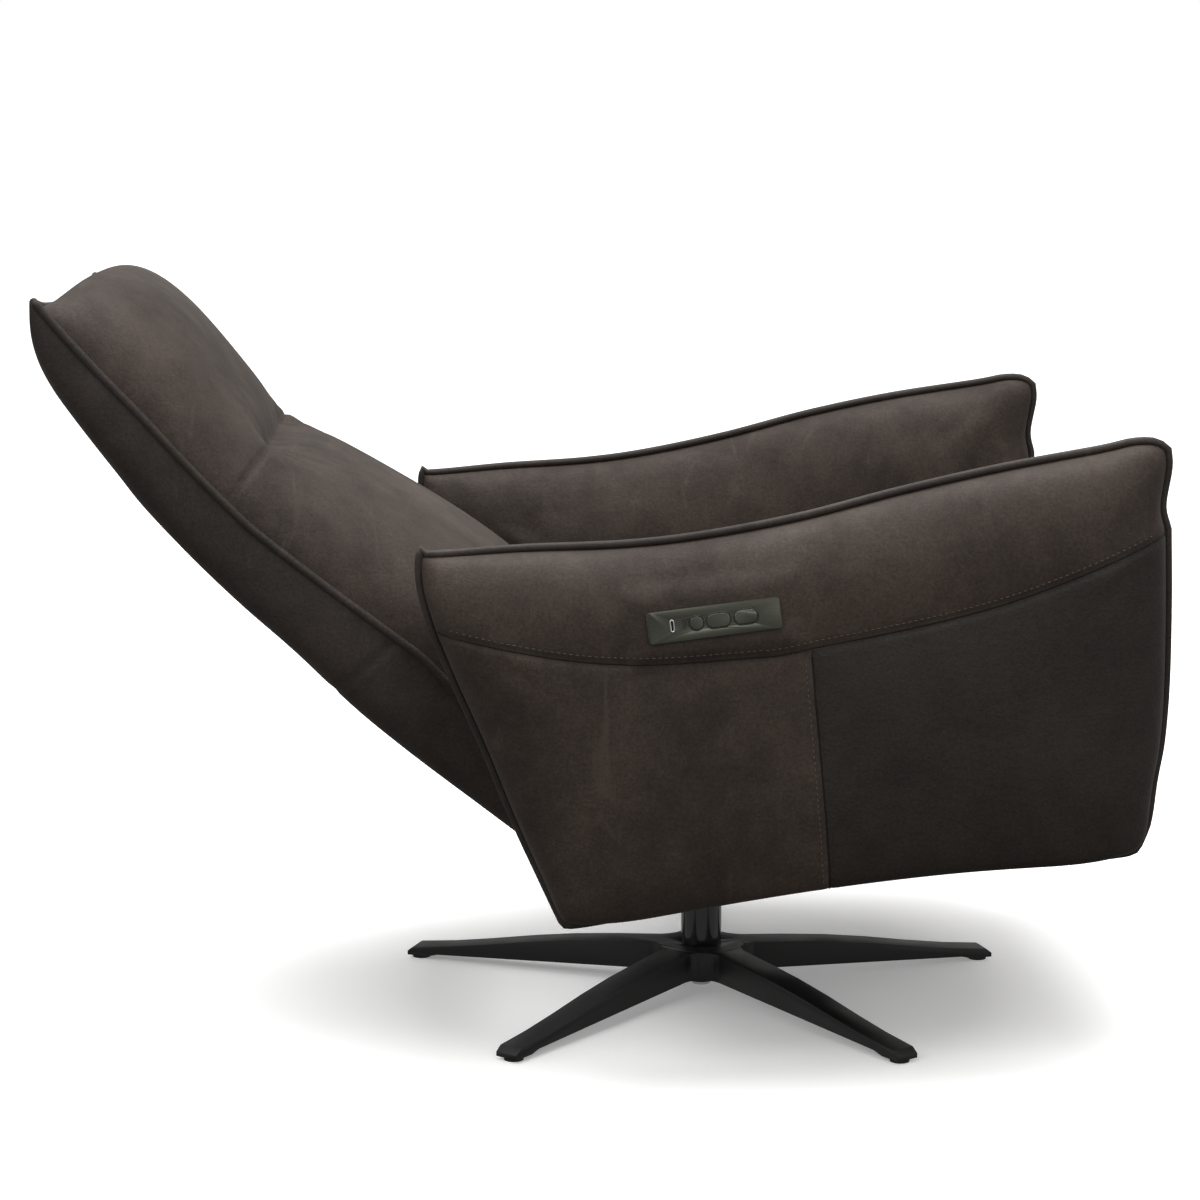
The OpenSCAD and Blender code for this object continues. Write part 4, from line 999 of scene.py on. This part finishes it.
BRUSH = (1, 12, 12, 0, 0, 0)
finishes = {
    "base_powder": hard_finish("black_powder_coat", (0.0034, 0.0052, 0.0041), (0.0078, 0.0108, 0.0088),
                               (0.42, 0.55), grain=900, grain_depth=0.0003, grain_strength=0.35),
    "column_black": hard_finish("gloss_black", (0.006, 0.006, 0.007), (0.011, 0.011, 0.012), (0.12, 0.2),
                                coat=0.6, grain_strength=0.05),
    "frame_steel": hard_finish("black_steel_paint", (0.018, 0.019, 0.02), (0.034, 0.035, 0.037),
                               (0.4, 0.6), grain=700),
    "bright_steel": hard_finish("bright_steel", (0.5, 0.5, 0.5), (0.66, 0.66, 0.65), (0.22, 0.36), 1.0,
                                grain=260, stretch=BRUSH),
    "bolt_steel": hard_finish("zinc_plate", (0.42, 0.43, 0.44), (0.6, 0.6, 0.58), (0.28, 0.45), 1.0),
    "glide": hard_finish("glide_rubber", (0.012, 0.012, 0.012), (0.022, 0.022, 0.022), (0.7, 0.85)),
    "bush": hard_finish("bush_plastic", (0.30, 0.29, 0.26), (0.38, 0.37, 0.33), (0.45, 0.6)),
    "bronze": hard_finish("sintered_bronze", (0.38, 0.22, 0.09), (0.52, 0.33, 0.14), (0.35, 0.55), 1.0),
    "webbing": hard_finish("woven_webbing", (0.016, 0.016, 0.017), (0.045, 0.045, 0.047), (0.8, 0.9),
                           grain=420, grain_strength=0.6, grain_depth=0.0006,
                           stretch=(1, 4, 1, 0, 0, 0)),
    "foam": hard_finish("cut_foam", (0.50, 0.42, 0.24), (0.62, 0.54, 0.34), (0.9, 0.95), grain=800,
                        grain_strength=0.7, grain_depth=0.0008),
    "ply": hard_finish("birch_ply", (0.34, 0.22, 0.11), (0.56, 0.41, 0.24), (0.5, 0.65), grain=45,
                       stretch=(10, 1, 3, 0, 0, 0.1)),
    "black_plastic": hard_finish("moulded_plastic", (0.011, 0.011, 0.012), (0.02, 0.02, 0.021),
                                 (0.45, 0.6), grain=1200, grain_strength=0.4),
    "keypad_face": hard_finish("keypad_gunmetal", (0.075, 0.078, 0.062), (0.11, 0.112, 0.09),
                               (0.26, 0.34), 0.85, grain=900, stretch=(1, 0.06, 1, 0, 0, 0),
                               grain_strength=0.12),
    "key_metal": hard_finish("key_gunmetal", (0.09, 0.092, 0.075), (0.13, 0.132, 0.11), (0.2, 0.3), 0.9,
                             grain=700, grain_strength=0.08),
    "lens": hard_finish("dark_lens", (0.004, 0.004, 0.006), (0.01, 0.01, 0.012), (0.05, 0.1), coat=1.0,
                        grain_strength=0.02),
    "board_green": hard_finish("circuit_board", (0.01, 0.06, 0.022), (0.02, 0.10, 0.035), (0.35, 0.5)),
    "leather_brown": hide_brown,
    "leather_piping": hide_piping,
}
for part in frame["record"]["subparts"]:
    own = nodes[part["node"]]
    finish = finishes[part["material_slot"]]
    own.data.materials.clear()
    own.data.materials.append(finish)

# %% [markdown]
# ## Floor star
# The casting's edges are broken by a small radius, which catches the light. A copy of the measured
# star is merged, its flat faces are joined up, and every sharp edge gets a narrow bevel.

# %% Softened copies of hard sub-parts
def softened(source, name, body, width, segments=2, joint_angle=1.0, sharp=28):
    hold(nodes[source])
    bpy.ops.object.duplicate()
    copy = bpy.context.object
    copy.parent = None
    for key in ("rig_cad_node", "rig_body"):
        if key in copy:
            del copy[key]
    bpy.ops.object.mode_set(mode="EDIT")
    bpy.ops.mesh.select_all(action="SELECT")
    bpy.ops.mesh.remove_doubles(threshold=0.00001)
    bpy.ops.mesh.dissolve_limited(angle_limit=math.radians(joint_angle))
    bpy.ops.object.mode_set(mode="OBJECT")
    edge = copy.modifiers.new("edge", "BEVEL")
    edge.width, edge.segments = width * MM, segments
    edge.limit_method, edge.angle_limit = "ANGLE", math.radians(sharp)
    edge.harden_normals = True
    apply_all(copy)
    hold(copy)
    bpy.ops.object.shade_smooth_by_angle(angle=math.radians(35))
    finish_piece(copy, name, body, [p["material_slot"] for p in frame["record"]["subparts"]
                                    if p["node"] == source][0])
    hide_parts(source)


softened("star_base", "floor_star", "base", 1.5)

# %% [markdown]
# ## Keypad
# The plate is a thin metal strip with softened edges, and the round key and the two rockers are softened
# the same way. A fine dark rim round each key is painted shade of the gap round it, and a bright one
# lies round the slot.

# %% Keypad plate and key rings
softened("keypad_plate", "keypad_strip", "seat", 0.5)
for key in ("round_key", "back_rocker", "legrest_rocker"):
    softened(key, key + "_cap", key, 0.6, segments=3)


def pad_point(ahead, up, out=0.0):
    return PAD_MID + ahead * PAD_AHEAD + up * PAD_UP + out * PAD_OUT


def ring(length, height, ahead):
    """A closed line round a key with round corners."""
    r = min(length, height) / 2
    line = []
    for quarter, (across, up) in enumerate(((1, 1), (-1, 1), (-1, -1), (1, -1))):
        for step in (9, 27, 45, 63, 81):
            turn = math.radians(90 * quarter + step)
            line.append(pad_point(ahead + across * (length / 2 - r) + r * math.cos(turn),
                                  up * (height / 2 - r) + r * math.sin(turn), 0.15))
    return line


KEYS = ((12.6, 12.6, -16.8), (22, 13, 4), (22, 13, 30.2))
# The dark rims round the keys are painted shade of the gaps round them; the slot's rim is bright steel.
for name, finish, radius, frames in (("key_gap_shade_rims", "black_plastic", 0.6, KEYS),
                                     ("slot_rim", "bright_steel", 0.8, ((1.6, 9.4, -40),))):
    rims = [rolled_edge(ring(length + 1.6, height + 1.6, ahead), radius, True)
            for length, height, ahead in frames]
    hold(*rims)
    if len(rims) > 1:
        bpy.ops.object.join()
    rim_piece = bpy.context.object
    rim_piece.data.transform(SEAT)
    finish_piece(rim_piece, name, "seat", finish, finishes[finish])
